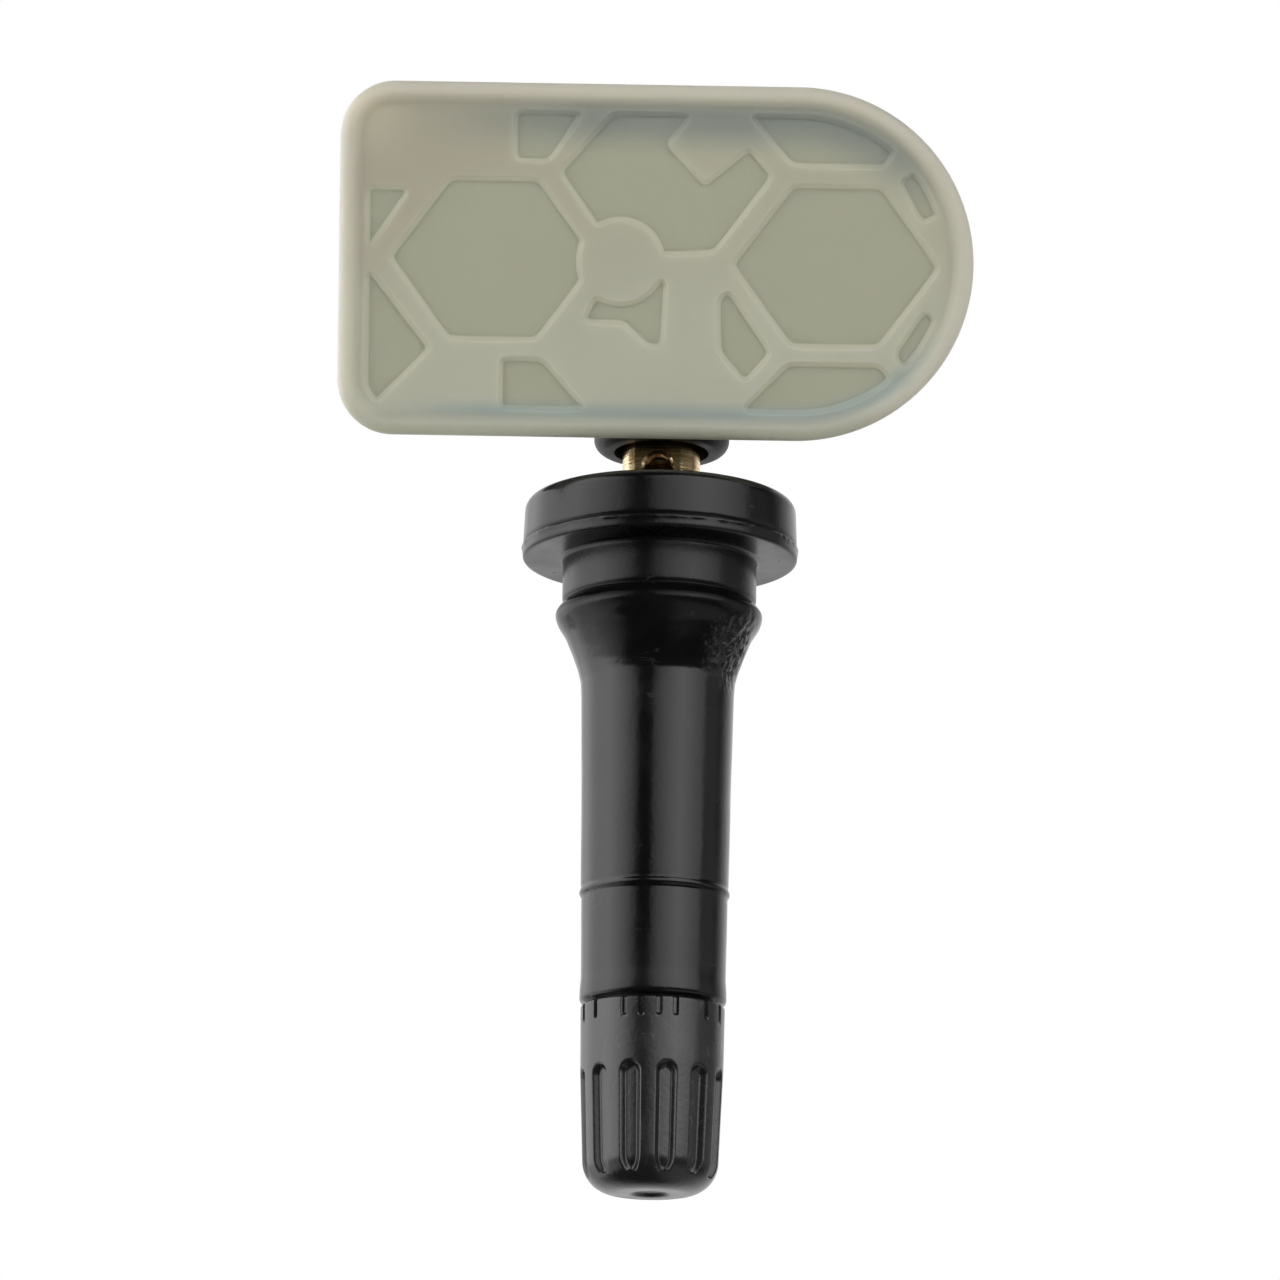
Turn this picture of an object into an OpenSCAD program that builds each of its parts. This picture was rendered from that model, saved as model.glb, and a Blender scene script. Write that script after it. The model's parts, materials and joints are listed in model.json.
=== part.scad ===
// Tyre pressure sensor on a snap-in rubber valve.
// The origin is on the valve axis at the rim seat, the underside of the rubber flange.
// +Z runs along the valve towards the sensor body, and -Y faces whoever looks at the ribbed cover.

/* [Rubber valve] */
// Diameter of the flange that seats on the rim
flange_d = 19; // [18:0.5:24]
// Height of the flange from its seat to its top rim
flange_h = 4.2; // [3.4:0.1:4.6]
// Diameter of the groove that the rim hole grips
neck_d = 13.4; // [12.6:0.1:14]
// Length of the groove
neck_h = 3.1; // [2.4:0.1:4.5]
// Widest diameter of the snap-in bulge
bulge_d = 14.3; // [14.2:0.1:16]
// Length of the bulge from the groove to the shaft
bulge_h = 5.3; // [4.6:0.1:8]
// Diameter of the shaft just below the bulge
shaft_d = 10.5; // [10.2:0.1:11.5]
// Diameter of the shaft at its outer end
shaft_end_d = 9.9; // [9.7:0.1:10.1]
// Distance from the seat to the outer end of the rubber
shaft_len = 31.05; // [27:0.05:45]
// Distance from the seat to the ring moulded on the shaft
ring_z = 23.5; // [14:0.05:25]
// Height of that ring
ring_h = 0.5; // [0.3:0.1:1]

/* [Brass stem] */
// Diameter of the stem where it shows above the flange
stem_d = 5.4; // [5.2:0.1:5.6]
// Diameter of the stem inside the rubber
insert_d = 6.4; // [6:0.1:7]
// Outer diameter of the cap thread
thread_d = 7.7; // [7.5:0.1:7.9]
// Length of thread that stands out of the rubber
thread_out = 10.1; // [8:0.1:12]
// Distance across the two flats
flats_w = 4.34; // [4.1:0.02:4.8]
// Diameter of the cross hole that lets the air out to the sensor
air_hole_d = 1.9; // [1.2:0.1:2.2]
// Width of the bevel round the cross hole
air_hole_bevel = 0.15; // [0.05:0.05:0.3]
// Height of the cross hole above the seat
air_hole_z = 6.25; // [6.1:0.05:6.4]
// Diameter of the air passage through the stem
passage_d = 2.6; // [2:0.1:2.8]
// Height of the shoulder that the sensor body stands on
shoulder_z = 9; // [8.9:0.05:9.3]
// Diameter of the tenon above the shoulder
tenon_d = 4.6; // [4.4:0.1:4.8]
// Length of the tenon
tenon_h = 3.4; // [3.1:0.1:4]

/* [Valve core] */
// Inner diameter of the stem where the core screws in
core_bore_d = 5; // [4.9:0.05:5.2]
// Diameter of the chamber behind the core
chamber_d = 3.6; // [3.5:0.1:4]
// Diameter of the core pin
pin_d = 1.2; // [1:0.05:1.3]
// How far the pin is pressed in to let air out
pin_travel = 1.1; // [0.6:0.1:1.5]
// Turns of the core spring
spring_turns = 6; // [4:1:8]

/* [Cap] */
// Outer diameter of the cap at its mouth
cap_d = 9.8; // [9.6:0.1:10.2]
// Diameter of the cap where its end starts to round
cap_end_d = 9.2; // [9:0.05:9.6]
// Length of the cap
cap_len = 12.75; // [12.5:0.05:14]
// Gap between the rubber and the mouth of the cap
cap_gap = 0.3; // [0.1:0.05:0.6]
// Number of finger flutes round the cap
flute_count = 12; // [8:1:14]
// Width of one flute
flute_w = 1.6; // [1.2:0.1:1.8]
// Depth of one flute
flute_depth = 0.4; // [0.2:0.05:0.5]
// Distance from the mouth to the top of the flutes
flute_top = 4; // [3:0.1:6]
// Number of slots round the mouth
slot_count = 16; // [8:1:24]
// Width of one mouth slot
slot_w = 0.4; // [0.2:0.05:0.6]
// Height of one mouth slot
slot_h = 1.25; // [0.6:0.05:2]
// Thickness of the seal in the cap
cap_seal_t = 1.1; // [0.8:0.1:1.4]

/* [Sensor body] */
// Width of the sensor body across the valve
body_w = 43.5; // [43.2:0.1:52]
// Height of the sensor body along its face
body_h = 24.2; // [24:0.1:27]
// Thickness of the sensor body
body_t = 13; // [12.6:0.1:16]
// Lean of the body over the ribbed side
body_tilt = 18; // [14:0.5:22]
// Offset of the body's middle from the valve axis
body_x = -0.6; // [-0.8:0.05:0]
// Distance from the valve axis forward to the body's lower front edge
body_front = 6; // [5.8:0.05:6.3]
// Height of the lower front edge above the seat
body_z = 7.1; // [6.9:0.05:7.4]
// Radius of the two square-end corners
corner_r = 3.8; // [3.4:0.1:5]
// Thickness of the rear shell's walls
wall = 1.2; // [1:0.05:1.25]
// Thickness of the rear shell's floor
back_wall = 1.4; // [1.2:0.1:1.8]
// Radius of the rear shell's outer edge
back_edge_r = 2; // [1:0.1:2.2]
// How far the rear shell stands inside the cover's outline
back_inset = 0.35; // [0.1:0.05:0.4]

/* [Ribbed cover] */
// Depth of the cover from its lip to the weld line
cover_t = 4.2; // [4.1:0.1:5]
// Width of the lip from the outside edge to the ribbed face
lip_w = 1.9; // [1.8:0.1:2.3]
// Radius of the lip's outer edge
lip_r = 1.1; // [0.6:0.1:1.3]
// How far the ribbed face lies below the lip
lip_drop = 0.5; // [0.3:0.05:0.6]
// Depth of the pockets between the ribs
pocket_depth = 0.8; // [0.4:0.1:1]
// Thickness of the cover's face behind the ribs
face_t = 1.8; // [1.6:0.1:1.9]
// Thickness of the cover's skirt
skirt_t = 1.3; // [1:0.1:1.4]
// Height of one honeycomb cell
cell_h = 10.85; // [9:0.05:12]
// Width of one honeycomb cell from corner to corner
cell_w = 14.1; // [12:0.1:14.6]
// Length of a cell's level side
cell_side = 6.05; // [5:0.05:7]
// Radius of the round pad between the cells
pad_r = 2.85; // [2:0.05:3.2]

/* [Socket and screw] */
// Outer diameter of the socket round the brass stem
socket_d = 9.4; // [9:0.1:9.8]
// Height of the socket's lower end above the seat
socket_z = 7.8; // [7.6:0.05:8.2]
// Thickness of the socket floor that the screw clamps
socket_floor = 3.5; // [3.2:0.1:4.2]
// Wall round the screw bay
bay_wall = 1.1; // [0.9:0.1:1.3]
// Nominal diameter of the screw
screw_d = 3; // [2.5:0.1:3]
// Diameter of the screw head
screw_head_d = 5.5; // [5:0.1:5.8]
// Height of the screw head
screw_head_h = 1.9; // [1.5:0.1:2.4]
// Length of the screw under its head
screw_len = 4.7; // [3.6:0.1:4.8]

/* [Inside the body] */
// Diameter of the coin cell
cell_d = 16; // [12:0.5:16]
// Thickness of the coin cell
cell_t = 3.2; // [2:0.1:3.6]
// Thickness of the circuit board
board_t = 0.8; // [0.6:0.1:1]
// Depth of the circuit board behind the lip
board_depth = 3.2; // [3:0.05:3.4]
// Side of the sensor chip
chip_w = 5.2; // [4:0.1:6]
// Height of the sensor chip
chip_t = 1.7; // [1:0.1:2]
// Diameter of the pressure port
port_d = 1.6; // [1:0.1:2]

/* [Hidden] */
$fn = 96;
// Gap where two pieces are seated, bonded or screwed together
seat_gap = 0.02;
// Running clearance of a turning or sliding piece
run_gap = 0.06;
// Assembly clearance round a piece that drops into its place
fit_gap = 0.15;
// Overlap that makes two forms of one piece join
join = 0.3;
// A cutter runs past its face by this much
past = 1;

tip_z = -shaft_len - thread_out;
thread_start = -shaft_len + 1;
cap_mouth_z = -shaft_len - cap_gap;
cap_end_z = cap_mouth_z - cap_len;
collar_d = insert_d + 1.6;
collar_low = 1;
collar_top = 2.2;
tenon_flats_w = flats_w - 0.44;
floor_top = shoulder_z + socket_floor;
bay_r = screw_head_d / 2 + 0.45;
tower_r = bay_r + bay_wall;
end_r = body_h / 2;
end_x = body_w / 2 - end_r;
face_mid = [0, body_h / 2];
board_back = board_depth + board_t;
board_inset = skirt_t + 1.15;
tongue_t = 0.9;
tongue_h = 1;
cavity_depth = body_t - back_wall;

// Valve core stations, measured inwards from the tip of the stem
plug_low = 0.3;
plug_top = 4.2;
bridge_t = 1.2;
seat_low = 5.2;
seat_top = 6.4;
pin_collar_low = 5;
pin_collar_top = 5.5;
spring_closed = 2.8;
cup_recess = 1;
chamber_room = 3.5;
guide_low = pin_collar_top + spring_closed + pin_travel;
guide_top = guide_low + 0.8;
barrel_top = guide_top + cup_recess;
seal_t = 0.7;
cup_t = 0.4;
pin_top = barrel_top + seal_t + cup_t + 2 * seat_gap;
chamber_top = pin_top + pin_travel + chamber_room;
pin_r = pin_d / 2;
plug_r = core_bore_d / 2 - 0.05;
barrel_r = chamber_d / 2 - 0.3;
neck_r = barrel_r - 0.1;
spring_room_r = pin_r + 0.5;

// Points of an arc about a centre
function arc(centre, r, from, to, steps) =
    [for (i = [0:steps]) let (a = from + (to - from) * i / steps) centre + r * [cos(a), sin(a)]];

// Points that round the corner at b between its neighbours a and c
function corner(a, b, c, r, steps) =
    let (
        u = (a - b) / norm(a - b),
        v = (c - b) / norm(c - b),
        half = acos(u * v) / 2,
        centre = b + (u + v) / norm(u + v) * r / sin(half),
        start = b + u * r / tan(half) - centre,
        end = b + v * r / tan(half) - centre
    )
    [for (i = [0:steps]) let (d = start * (1 - i / steps) + end * i / steps) centre + r * d / norm(d)];

// Outline with every corner rounded
function rounded(points, r, steps = 3) =
    let (n = len(points))
    [for (i = [0:n - 1]) each corner(points[(i + n - 1) % n], points[i], points[(i + 1) % n], r, steps)];

// Corners of a honeycomb cell about a centre
function cell(centre) = [for (s = [[-1, 0], [-0.5, 1], [0.5, 1], [1, 0], [0.5, -1], [-0.5, -1]])
    centre + [s[1] == 0 ? s[0] * cell_w / 2 : s[0] * cell_side, s[1] * cell_h / 2]];

// Carries the face frame of the sensor body to its place: x across, y up the face, z out of it
module place_body() {
    translate([body_x, -body_front, body_z]) rotate([90 + body_tilt, 0, 0]) children();
}

// Outline of the body, square at the left and round at the right, drawn inside by the inset
module outline(inset) {
    r = corner_r - inset;
    left = -body_w / 2 + inset;
    translate([end_x, end_r]) circle(r = end_r - inset);
    translate([left + r, inset]) square([end_x - left - r, body_h - 2 * inset]);
    translate([left, inset + r]) square([end_x - left, body_h - 2 * inset - 2 * r]);
    for (y = [inset + r, body_h - inset - r]) translate([left + r, y]) circle(r = r);
}

// Slab of the body between two depths behind the lip
module slab(inset, from, to) {
    translate([0, 0, -to]) linear_extrude(to - from) outline(inset);
}

// Runs an edge profile round the body: x is outwards from the inset path, y is out of the face
module edge_sweep(inset) {
    r = corner_r - inset;
    left = -body_w / 2 + inset;
    run = end_x - left - r;
    translate([end_x, end_r, 0]) rotate(-90) rotate_extrude(angle = 180)
        translate([end_r - inset, 0]) children();
    translate([left + r, body_h - inset - r, 0]) rotate(90) rotate_extrude(angle = 90)
        translate([r, 0]) children();
    translate([left + r, inset + r, 0]) rotate(180) rotate_extrude(angle = 90)
        translate([r, 0]) children();
    translate([left + r, body_h - inset, 0]) rotate([90, 0, 90]) linear_extrude(run) children();
    translate([end_x, inset, 0]) rotate([90, 0, -90]) linear_extrude(run) children();
    translate([left, inset + r, 0]) rotate([90, 0, 180])
        linear_extrude(body_h - 2 * inset - 2 * r) children();
}

// Rounded lip and skirt of the cover, from the ribbed face out to the edge
module lip_profile() {
    polygon(concat(
        [[-join / 2, -cover_t], [-join / 2, -lip_drop], [0, -lip_drop]],
        arc([lip_w - lip_r, -lip_r], lip_r, 90, 0, 10),
        [[lip_w, -cover_t]]
    ));
}

// Pockets of the ribbed face, in millimetres from the middle of the face
module face_pockets() {
    left_cell = [-11.15, 0.05];
    right_cell = [12.3, -0.1];
    pad = [-2.45, 0];
    difference() {
        union() {
            polygon(rounded(cell(left_cell), 0.4));
            polygon(rounded([[-2.3, 11], [-6.65, 6.05], [-4.2, 2.6], [-2, 0.5], [4, 0.8], [7.85, 6],
                [6.25, 7.8], [3.25, 5.3], [0.6, 8.1], [3.05, 11]], 0.45));
            polygon(rounded([[-4, -2.2], [-4.9, -4.1], [-2.2, -4.1], [-0.5, -5.7], [0.45, -5.7],
                [0.65, -1.2]], 0.35));
        }
        translate(pad) circle(r = pad_r);
    }
    polygon(rounded(cell(right_cell), 0.4));
    polygon(rounded([[-9.75, 11], [-4.65, 11], [-7.4, 6.85], [-9.7, 6.85]], 0.35));
    polygon(rounded([[-21, 4.75], [-17, 4.75], [-19.8, 0.6], [-21, 0.6]], 0.35));
    polygon(rounded([[-21, -0.95], [-19.5, -1.05], [-15.45, -6.15], [-19.1, -9.85], [-21, -8.9]], 0.4));
    polygon(rounded([[-10.5, -6.8], [-7.75, -6.8], [-3.9, -11], [-10.5, -11]], 0.45));
    polygon(rounded([[5.6, 10.9], [17.6, 10.9], [15.6, 6.8], [9.2, 6.8]], 0.35));
    polygon(rounded([[16.8, 6.1], [18, 7.5], [20.2, 4.4], [18.6, 3.3]], 0.4));
    polygon(rounded([[16.8, -6.1], [17.6, -7.3], [20.2, -5], [18.75, -3.4]], 0.35));
    polygon(rounded([[9.15, -6.85], [15.4, -6.85], [17.1, -8.7], [14.7, -11.1], [5, -11.1]], 0.4));
    polygon(rounded([[4.95, -1.85], [4.35, -2.45], [4.45, -6.05], [6.2, -8.1], [7.9, -6.1]], 0.35));
}

// Space round the socket that the cover and the board keep clear
module socket_room() {
    translate([0, 0, socket_z - past])
        cylinder(r = socket_d / 2 + fit_gap, h = floor_top - socket_z + past + join);
}

// Translucent cover with the lip and the honeycomb ribs
module front_cover() {
    color([0.6, 0.6, 0.53]) difference() {
        place_body() difference() {
            union() {
                edge_sweep(lip_w) lip_profile();
                slab(lip_w, lip_drop, lip_drop + face_t);
            }
            slab(skirt_t, lip_drop + face_t, cover_t + past);
            translate([face_mid[0], face_mid[1], -lip_drop - pocket_depth])
                linear_extrude(lip_drop + pocket_depth + past) intersection() {
                    face_pockets();
                    translate(-face_mid) outline(lip_w);
                }
        }
        socket_room();
    }
}

// Outside form of the rear shell, with its rounded rear edge
module rear_form() {
    edge_sweep(back_inset + back_edge_r) {
        polygon(concat(
            [[-join / 2, -cover_t], [-join / 2, -body_t]],
            arc([0, back_edge_r - body_t], back_edge_r, -90, 0, 10),
            [[back_edge_r, -cover_t]]
        ));
    }
    slab(back_inset + back_edge_r, cover_t, body_t);
}

// Column along the valve axis, with its walls reaching back to the rear of the body
module column(r, from, height) {
    translate([0, 0, from]) {
        cylinder(r = r, h = height);
        translate([-r, 0, 0]) cube([2 * r, body_t * 2, height]);
    }
}

// Rounded lower end of the socket
module socket_form() {
    r = socket_d / 2;
    edge = 0.9;
    rotate_extrude() polygon(concat([[0, floor_top], [0, socket_z]],
        arc([r - edge, socket_z + edge], edge, -90, 0, 8), [[r, floor_top]]));
}

// Places inside the body, measured from its square end, its edges and the coin cell
square_end = -body_w / 2;
post_r = 1.1;
post_in = 3.65;
post_edge = 4;
cell_post_side = 5.4;
cell_post_edge = 2.9;
chip_in = 9.25;
chip_down = 8.4;
crystal_gap = 0.8;
crystal_drop = 0.9;
coil_shift = 0.5;
coil_edge = 6.4;
strap_in = 11.4;
strap_down = 3.4;
capacitor_gap = 2.6;
capacitor_size = [1.6, 0.8, 0.8];

post_line = square_end + post_in;
cell_x = end_x + end_r - back_inset - wall - fit_gap - cell_d / 2;
cell_front = board_back + 1;
cell_back = cell_front + cell_t;
cell_post = [cell_x - cell_post_side, cell_post_edge];
post_places = [[post_line, post_edge], [post_line, body_h - post_edge], cell_post,
    [cell_post[0], body_h - cell_post[1]]];
chip_at = [square_end + chip_in, body_h - chip_down];
crystal_size = [3.2, 2.5, 0.8];
crystal_at = chip_at + [chip_w / 2 + crystal_gap + crystal_size[0] / 2, -crystal_drop];

// Black shell with the valve socket, the screw bay and the pressure port
module rear_shell() {
    column_h = 2 * body_h;
    color([0.09, 0.09, 0.09]) difference() {
        union() {
            place_body() {
                difference() {
                    rear_form();
                    slab(back_inset + wall, cover_t - past, cavity_depth);
                }
                difference() {
                    slab(skirt_t + 0.1, cover_t - tongue_h, cover_t);
                    slab(skirt_t + 0.1 + tongue_t, 0, body_t);
                }
                for (p = post_places) translate([p[0], p[1], -cavity_depth - join])
                    cylinder(r = post_r, h = cavity_depth + join - board_back - seat_gap);
                translate([chip_at[0], chip_at[1], -cavity_depth - join])
                    cylinder(d = port_d + 2.8, h = cavity_depth + join - board_back - chip_t - seal_t);
            }
            intersection() {
                column(tower_r, floor_top - join, column_h);
                place_body() union() {
                    rear_form();
                    slab(skirt_t + 0.2, lip_drop + face_t + fit_gap, cover_t + join);
                }
            }
            socket_form();
        }
        column(bay_r, floor_top, column_h);
        translate([0, 0, socket_z - past]) cylinder(r = stem_d / 2 + 0.6, h = shoulder_z - socket_z + past);
        translate([0, 0, shoulder_z - past]) tenon_form(fit_gap / 3, socket_floor + 2 * past);
        place_body() translate([chip_at[0], chip_at[1], -body_t - past])
            cylinder(d = port_d, h = body_t);
        place_body() translate([cell_x, end_r, -cell_back - tab_t - 2 * seat_gap - fit_gap])
            cylinder(d = cell_d + fit_gap, h = cell_back + tab_t - board_back);
    }
}

// Round tenon with two flats
module tenon_form(gap, height) {
    linear_extrude(height) intersection() {
        circle(d = tenon_d + 2 * gap);
        square([tenon_d * 2, tenon_flats_w + 2 * gap], center = true);
    }
}

// Board that fills the cover and is notched round the socket
module circuit_board() {
    color([0.05, 0.3, 0.15]) difference() {
        place_body() slab(board_inset, board_depth, board_back);
        translate([0, 0, socket_z - past])
            cylinder(r = socket_d / 2 + fit_gap, h = body_h);
    }
}

tab_t = 0.3;
tab_w = 3;
tab_reach = 2;
tab_x = cell_x - tab_w;
tab_leg = cell_d / 2 + fit_gap + tab_t;

// Lithium coin cell
module coin_cell() {
    lip = 0.35;
    color([0.75, 0.75, 0.77]) place_body() translate([cell_x, end_r, -cell_front - cell_t]) {
        cylinder(d = cell_d, h = cell_t - lip);
        cylinder(d = cell_d - 2.4, h = cell_t);
    }
}

// Flat spring strip with a leg down to the board
module battery_tab(depth, inner_y, leg_y) {
    low = min(inner_y, leg_y);
    color([0.8, 0.79, 0.75]) place_body() {
        translate([tab_x, low, -depth - tab_t]) cube([tab_w, abs(inner_y - leg_y), tab_t]);
        translate([tab_x, leg_y - (leg_y > inner_y ? tab_t : 0), -depth - tab_t])
            cube([tab_w, tab_t, depth + tab_t - board_back - seat_gap]);
    }
}

module battery_tab_negative() {
    battery_tab(cell_front - tab_t - seat_gap, end_r + tab_reach, end_r - tab_leg);
}

module battery_tab_positive() {
    battery_tab(cell_back + seat_gap, end_r - tab_reach, end_r + tab_leg);
}

// A boxed component that stands on the back of the board
module on_board(at, size, lift = 0) {
    place_body() translate([at[0] - size[0] / 2, at[1] - size[1] / 2,
        -board_back - seat_gap - lift - size[2]]) cube(size);
}

// Pressure, temperature and control chip with its port
module sensor_chip() {
    color([0.12, 0.12, 0.13]) difference() {
        on_board(chip_at, [chip_w, chip_w, chip_t - seat_gap]);
        place_body() translate([chip_at[0], chip_at[1], -board_back - chip_t - past])
            cylinder(d = port_d, h = past + chip_t / 2);
    }
}

// Soft ring between the chip and the port
module port_seal() {
    color([0.7, 0.25, 0.2]) place_body()
        translate([chip_at[0], chip_at[1], -board_back - chip_t - seal_t + seat_gap])
        difference() {
            cylinder(d = port_d + 2, h = seal_t - 2 * seat_gap);
            translate([0, 0, -past]) cylinder(d = port_d, h = seal_t + 2 * past);
        }
}

coil_at = [chip_at[0] + coil_shift, coil_edge];
coil_size = [8.2, 3, 3];
coil_bar = 1.8;
coil_flange = 1.2;

// Ferrite dumbbell of the wake-up coil
module coil_core() {
    color([0.2, 0.2, 0.21]) difference() {
        on_board(coil_at, coil_size);
        place_body() translate([coil_at[0], coil_at[1], -board_back - coil_size[2] / 2])
            difference() {
                cube([coil_size[0] - 2 * coil_flange, 2 * coil_size[1], 2 * coil_size[2]], center = true);
                cube([coil_size[0], coil_bar, coil_bar], center = true);
            }
    }
}

// Copper winding between the flanges
module coil_winding() {
    over = coil_size[1] - 0.3;
    color([0.72, 0.4, 0.2]) place_body()
        translate([coil_at[0], coil_at[1], -board_back - coil_size[2] / 2]) difference() {
            cube([coil_size[0] - 2 * coil_flange - 2 * seat_gap, over, over], center = true);
            cube([coil_size[0], coil_bar + 2 * seat_gap, coil_bar + 2 * seat_gap], center = true);
        }
}

// Bent metal strap that radiates the signal
module antenna_strap() {
    span = 13;
    strap_w = 1.6;
    strap_t = 0.4;
    rise = 3.4;
    middle = [square_end + strap_in, body_h - strap_down];
    color([0.82, 0.8, 0.74]) {
        on_board(middle, [span, strap_w, strap_t], rise - strap_t);
        for (s = [-1, 1]) on_board(middle + [s * (span - strap_t) / 2, 0], [strap_t, strap_w, rise]);
    }
}

module crystal() {
    color([0.78, 0.78, 0.78]) on_board(crystal_at, crystal_size);
}

// Row of small capacitors
module capacitors() {
    count = 6;
    low = post_edge + capacitor_gap;
    pitch = (body_h - 2 * low) / (count - 1);
    color([0.6, 0.48, 0.34]) for (i = [0:count - 1])
        on_board([post_line, low + pitch * i], capacitor_size);
}

// Pan-head screw with a six-lobed drive
module clamp_screw() {
    r = screw_head_d / 2;
    edge = 0.8;
    lobe = 0.32;
    drive_depth = 1.2;
    color([0.7, 0.7, 0.72]) translate([0, 0, floor_top + seat_gap]) difference() {
        rotate_extrude() polygon(concat(
            [[0, -screw_len], [screw_d / 2 - 0.3, -screw_len], [screw_d / 2 - seat_gap, 0.3 - screw_len],
             [screw_d / 2 - seat_gap, 0], [r, 0]],
            arc([r - edge, screw_head_h - edge], edge, 0, 90, 6),
            [[0, screw_head_h]]
        ));
        translate([0, 0, screw_head_h - drive_depth]) linear_extrude(drive_depth + past) {
            circle(r = 1.05);
            for (a = [0:60:300]) rotate(a) translate([1.08, 0]) circle(r = lobe, $fn = 24);
        }
    }
}

// Turned stem: tenon, shoulder, flats, cross hole, anchor collar and cap thread
module brass_stem() {
    tip_chamfer = 0.5;
    screw_low = floor_top - screw_len - 0.2;
    color([0.8, 0.63, 0.33]) difference() {
        union() {
            rotate_extrude() polygon([[0, shoulder_z], [stem_d / 2, shoulder_z],
                [stem_d / 2, collar_top], [collar_d / 2, collar_top], [collar_d / 2, collar_low],
                [insert_d / 2, collar_low], [insert_d / 2, thread_start], [thread_d / 2, thread_start],
                [thread_d / 2, tip_z + tip_chamfer], [thread_d / 2 - tip_chamfer, tip_z], [0, tip_z]]);
            translate([0, 0, shoulder_z - join]) tenon_form(0, tenon_h + join - 0.1);
        }
        for (s = [-1, 1]) translate([0, s * (flats_w / 2 + stem_d / 2), (flange_h + shoulder_z) / 2 + 0.6])
            cube([2 * stem_d, stem_d, shoulder_z - flange_h], center = true);
        translate([0, 0, air_hole_z]) rotate([90, 0, 0]) {
            cylinder(d = air_hole_d, h = stem_d, $fn = 48);
            translate([0, 0, flats_w / 2 - air_hole_bevel])
                cylinder(d1 = air_hole_d, d2 = air_hole_d + 2 * (air_hole_bevel + join),
                    h = air_hole_bevel + join, $fn = 48);
        }
        translate([0, 0, tip_z - past]) cylinder(d = core_bore_d, h = seat_low + past);
        translate([0, 0, tip_z + seat_low])
            cylinder(d1 = core_bore_d, d2 = chamber_d, h = seat_top - seat_low);
        translate([0, 0, tip_z + seat_top - seat_gap])
            cylinder(d = chamber_d, h = chamber_top - seat_top + seat_gap);
        translate([0, 0, tip_z + seat_top])
            cylinder(d = passage_d, h = screw_low - tip_z - seat_top + seat_gap);
        translate([0, 0, screw_low]) cylinder(d = screw_d, h = screw_len + past);
    }
}

// Moulded rubber: flange, groove, snap-in bulge, tapered shaft and ring
module rubber_valve() {
    rf = flange_d / 2;
    rn = neck_d / 2;
    rb = bulge_d / 2;
    rs = shaft_d / 2;
    re = shaft_end_d / 2;
    parting = 0.8;
    flash = 0.12;
    flange_edge = 0.8;
    dome = 0.5;
    seat_edge = 0.2;
    bond = seat_gap;
    bulge_low = neck_h + bulge_h;
    ring_proud = 0.1;
    end_lip = 0.05;
    color([0.11, 0.11, 0.11]) rotate_extrude() polygon(concat(
        [[stem_d / 2 + bond, flange_h + dome], [rf * 0.5, flange_h + dome * 0.8],
         [rf - flange_edge * 1.4, flange_h + 0.1]],
        arc([rf - flange_edge - 0.1, flange_h - flange_edge], flange_edge, 70, 0, 6),
        [[rf - 0.02, parting + 0.25], [rf + flash, parting], [rf, parting - 0.2]],
        arc([rf - seat_edge, seat_edge], seat_edge, 0, -90, 4),
        [[rn + 0.15, 0], [rn, -0.2], [rn - 0.05, -neck_h + 0.15], [rn - 0.1, -neck_h]],
        arc([rb - 0.45, -neck_h - 0.55], 0.45, 80, -35, 6),
        [[rs + (rb - rs) * 0.6, -neck_h - bulge_h * 0.45],
         [rs + (rb - rs) * 0.35, -neck_h - bulge_h * 0.7],
         [rs + (rb - rs) * 0.12, -neck_h - bulge_h * 0.92],
         [rs, -bulge_low - 1.1], [rs - 0.2, -bulge_low - 8.5]],
        [[re + 0.1, -ring_z + ring_h / 2 + 0.12], [re + 0.07, -ring_z + ring_h / 2],
         [re + 0.1 + ring_proud, -ring_z + ring_h / 2 - 0.08],
         [re + 0.1 + ring_proud, -ring_z - ring_h / 2 + 0.08],
         [re + 0.07, -ring_z - ring_h / 2], [re + 0.05, -ring_z - ring_h / 2 - 0.12]],
        [[re, -shaft_len + 1.4], [re + end_lip, -shaft_len + 0.7], [re + end_lip, -shaft_len + 0.1],
         [re - 0.05, -shaft_len]],
        [[thread_d / 2 + bond, -shaft_len], [thread_d / 2 + bond, thread_start + bond],
         [insert_d / 2 + bond, thread_start + bond], [insert_d / 2 + bond, collar_low - bond],
         [collar_d / 2 + bond, collar_low - bond], [collar_d / 2 + bond, collar_top + bond],
         [stem_d / 2 + bond, collar_top + bond]]
    ));
}

// Lifts a core piece to its station inside the tip of the stem
module in_core(station) {
    translate([0, 0, tip_z + station]) children();
}

// Threaded plug with the bridge that guides the pin
module core_plug() {
    color([0.78, 0.62, 0.35]) in_core(plug_low) {
        height = plug_top - plug_low;
        difference() {
            cylinder(r = plug_r, h = height);
            translate([0, 0, -past]) cylinder(r = plug_r - 0.9, h = height + 2 * past);
        }
        translate([0, 0, height - bridge_t]) linear_extrude(bridge_t) difference() {
            square([2 * plug_r - 0.6, pin_d + 1], center = true);
            circle(r = pin_r + run_gap, $fn = 48);
        }
    }
}

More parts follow.
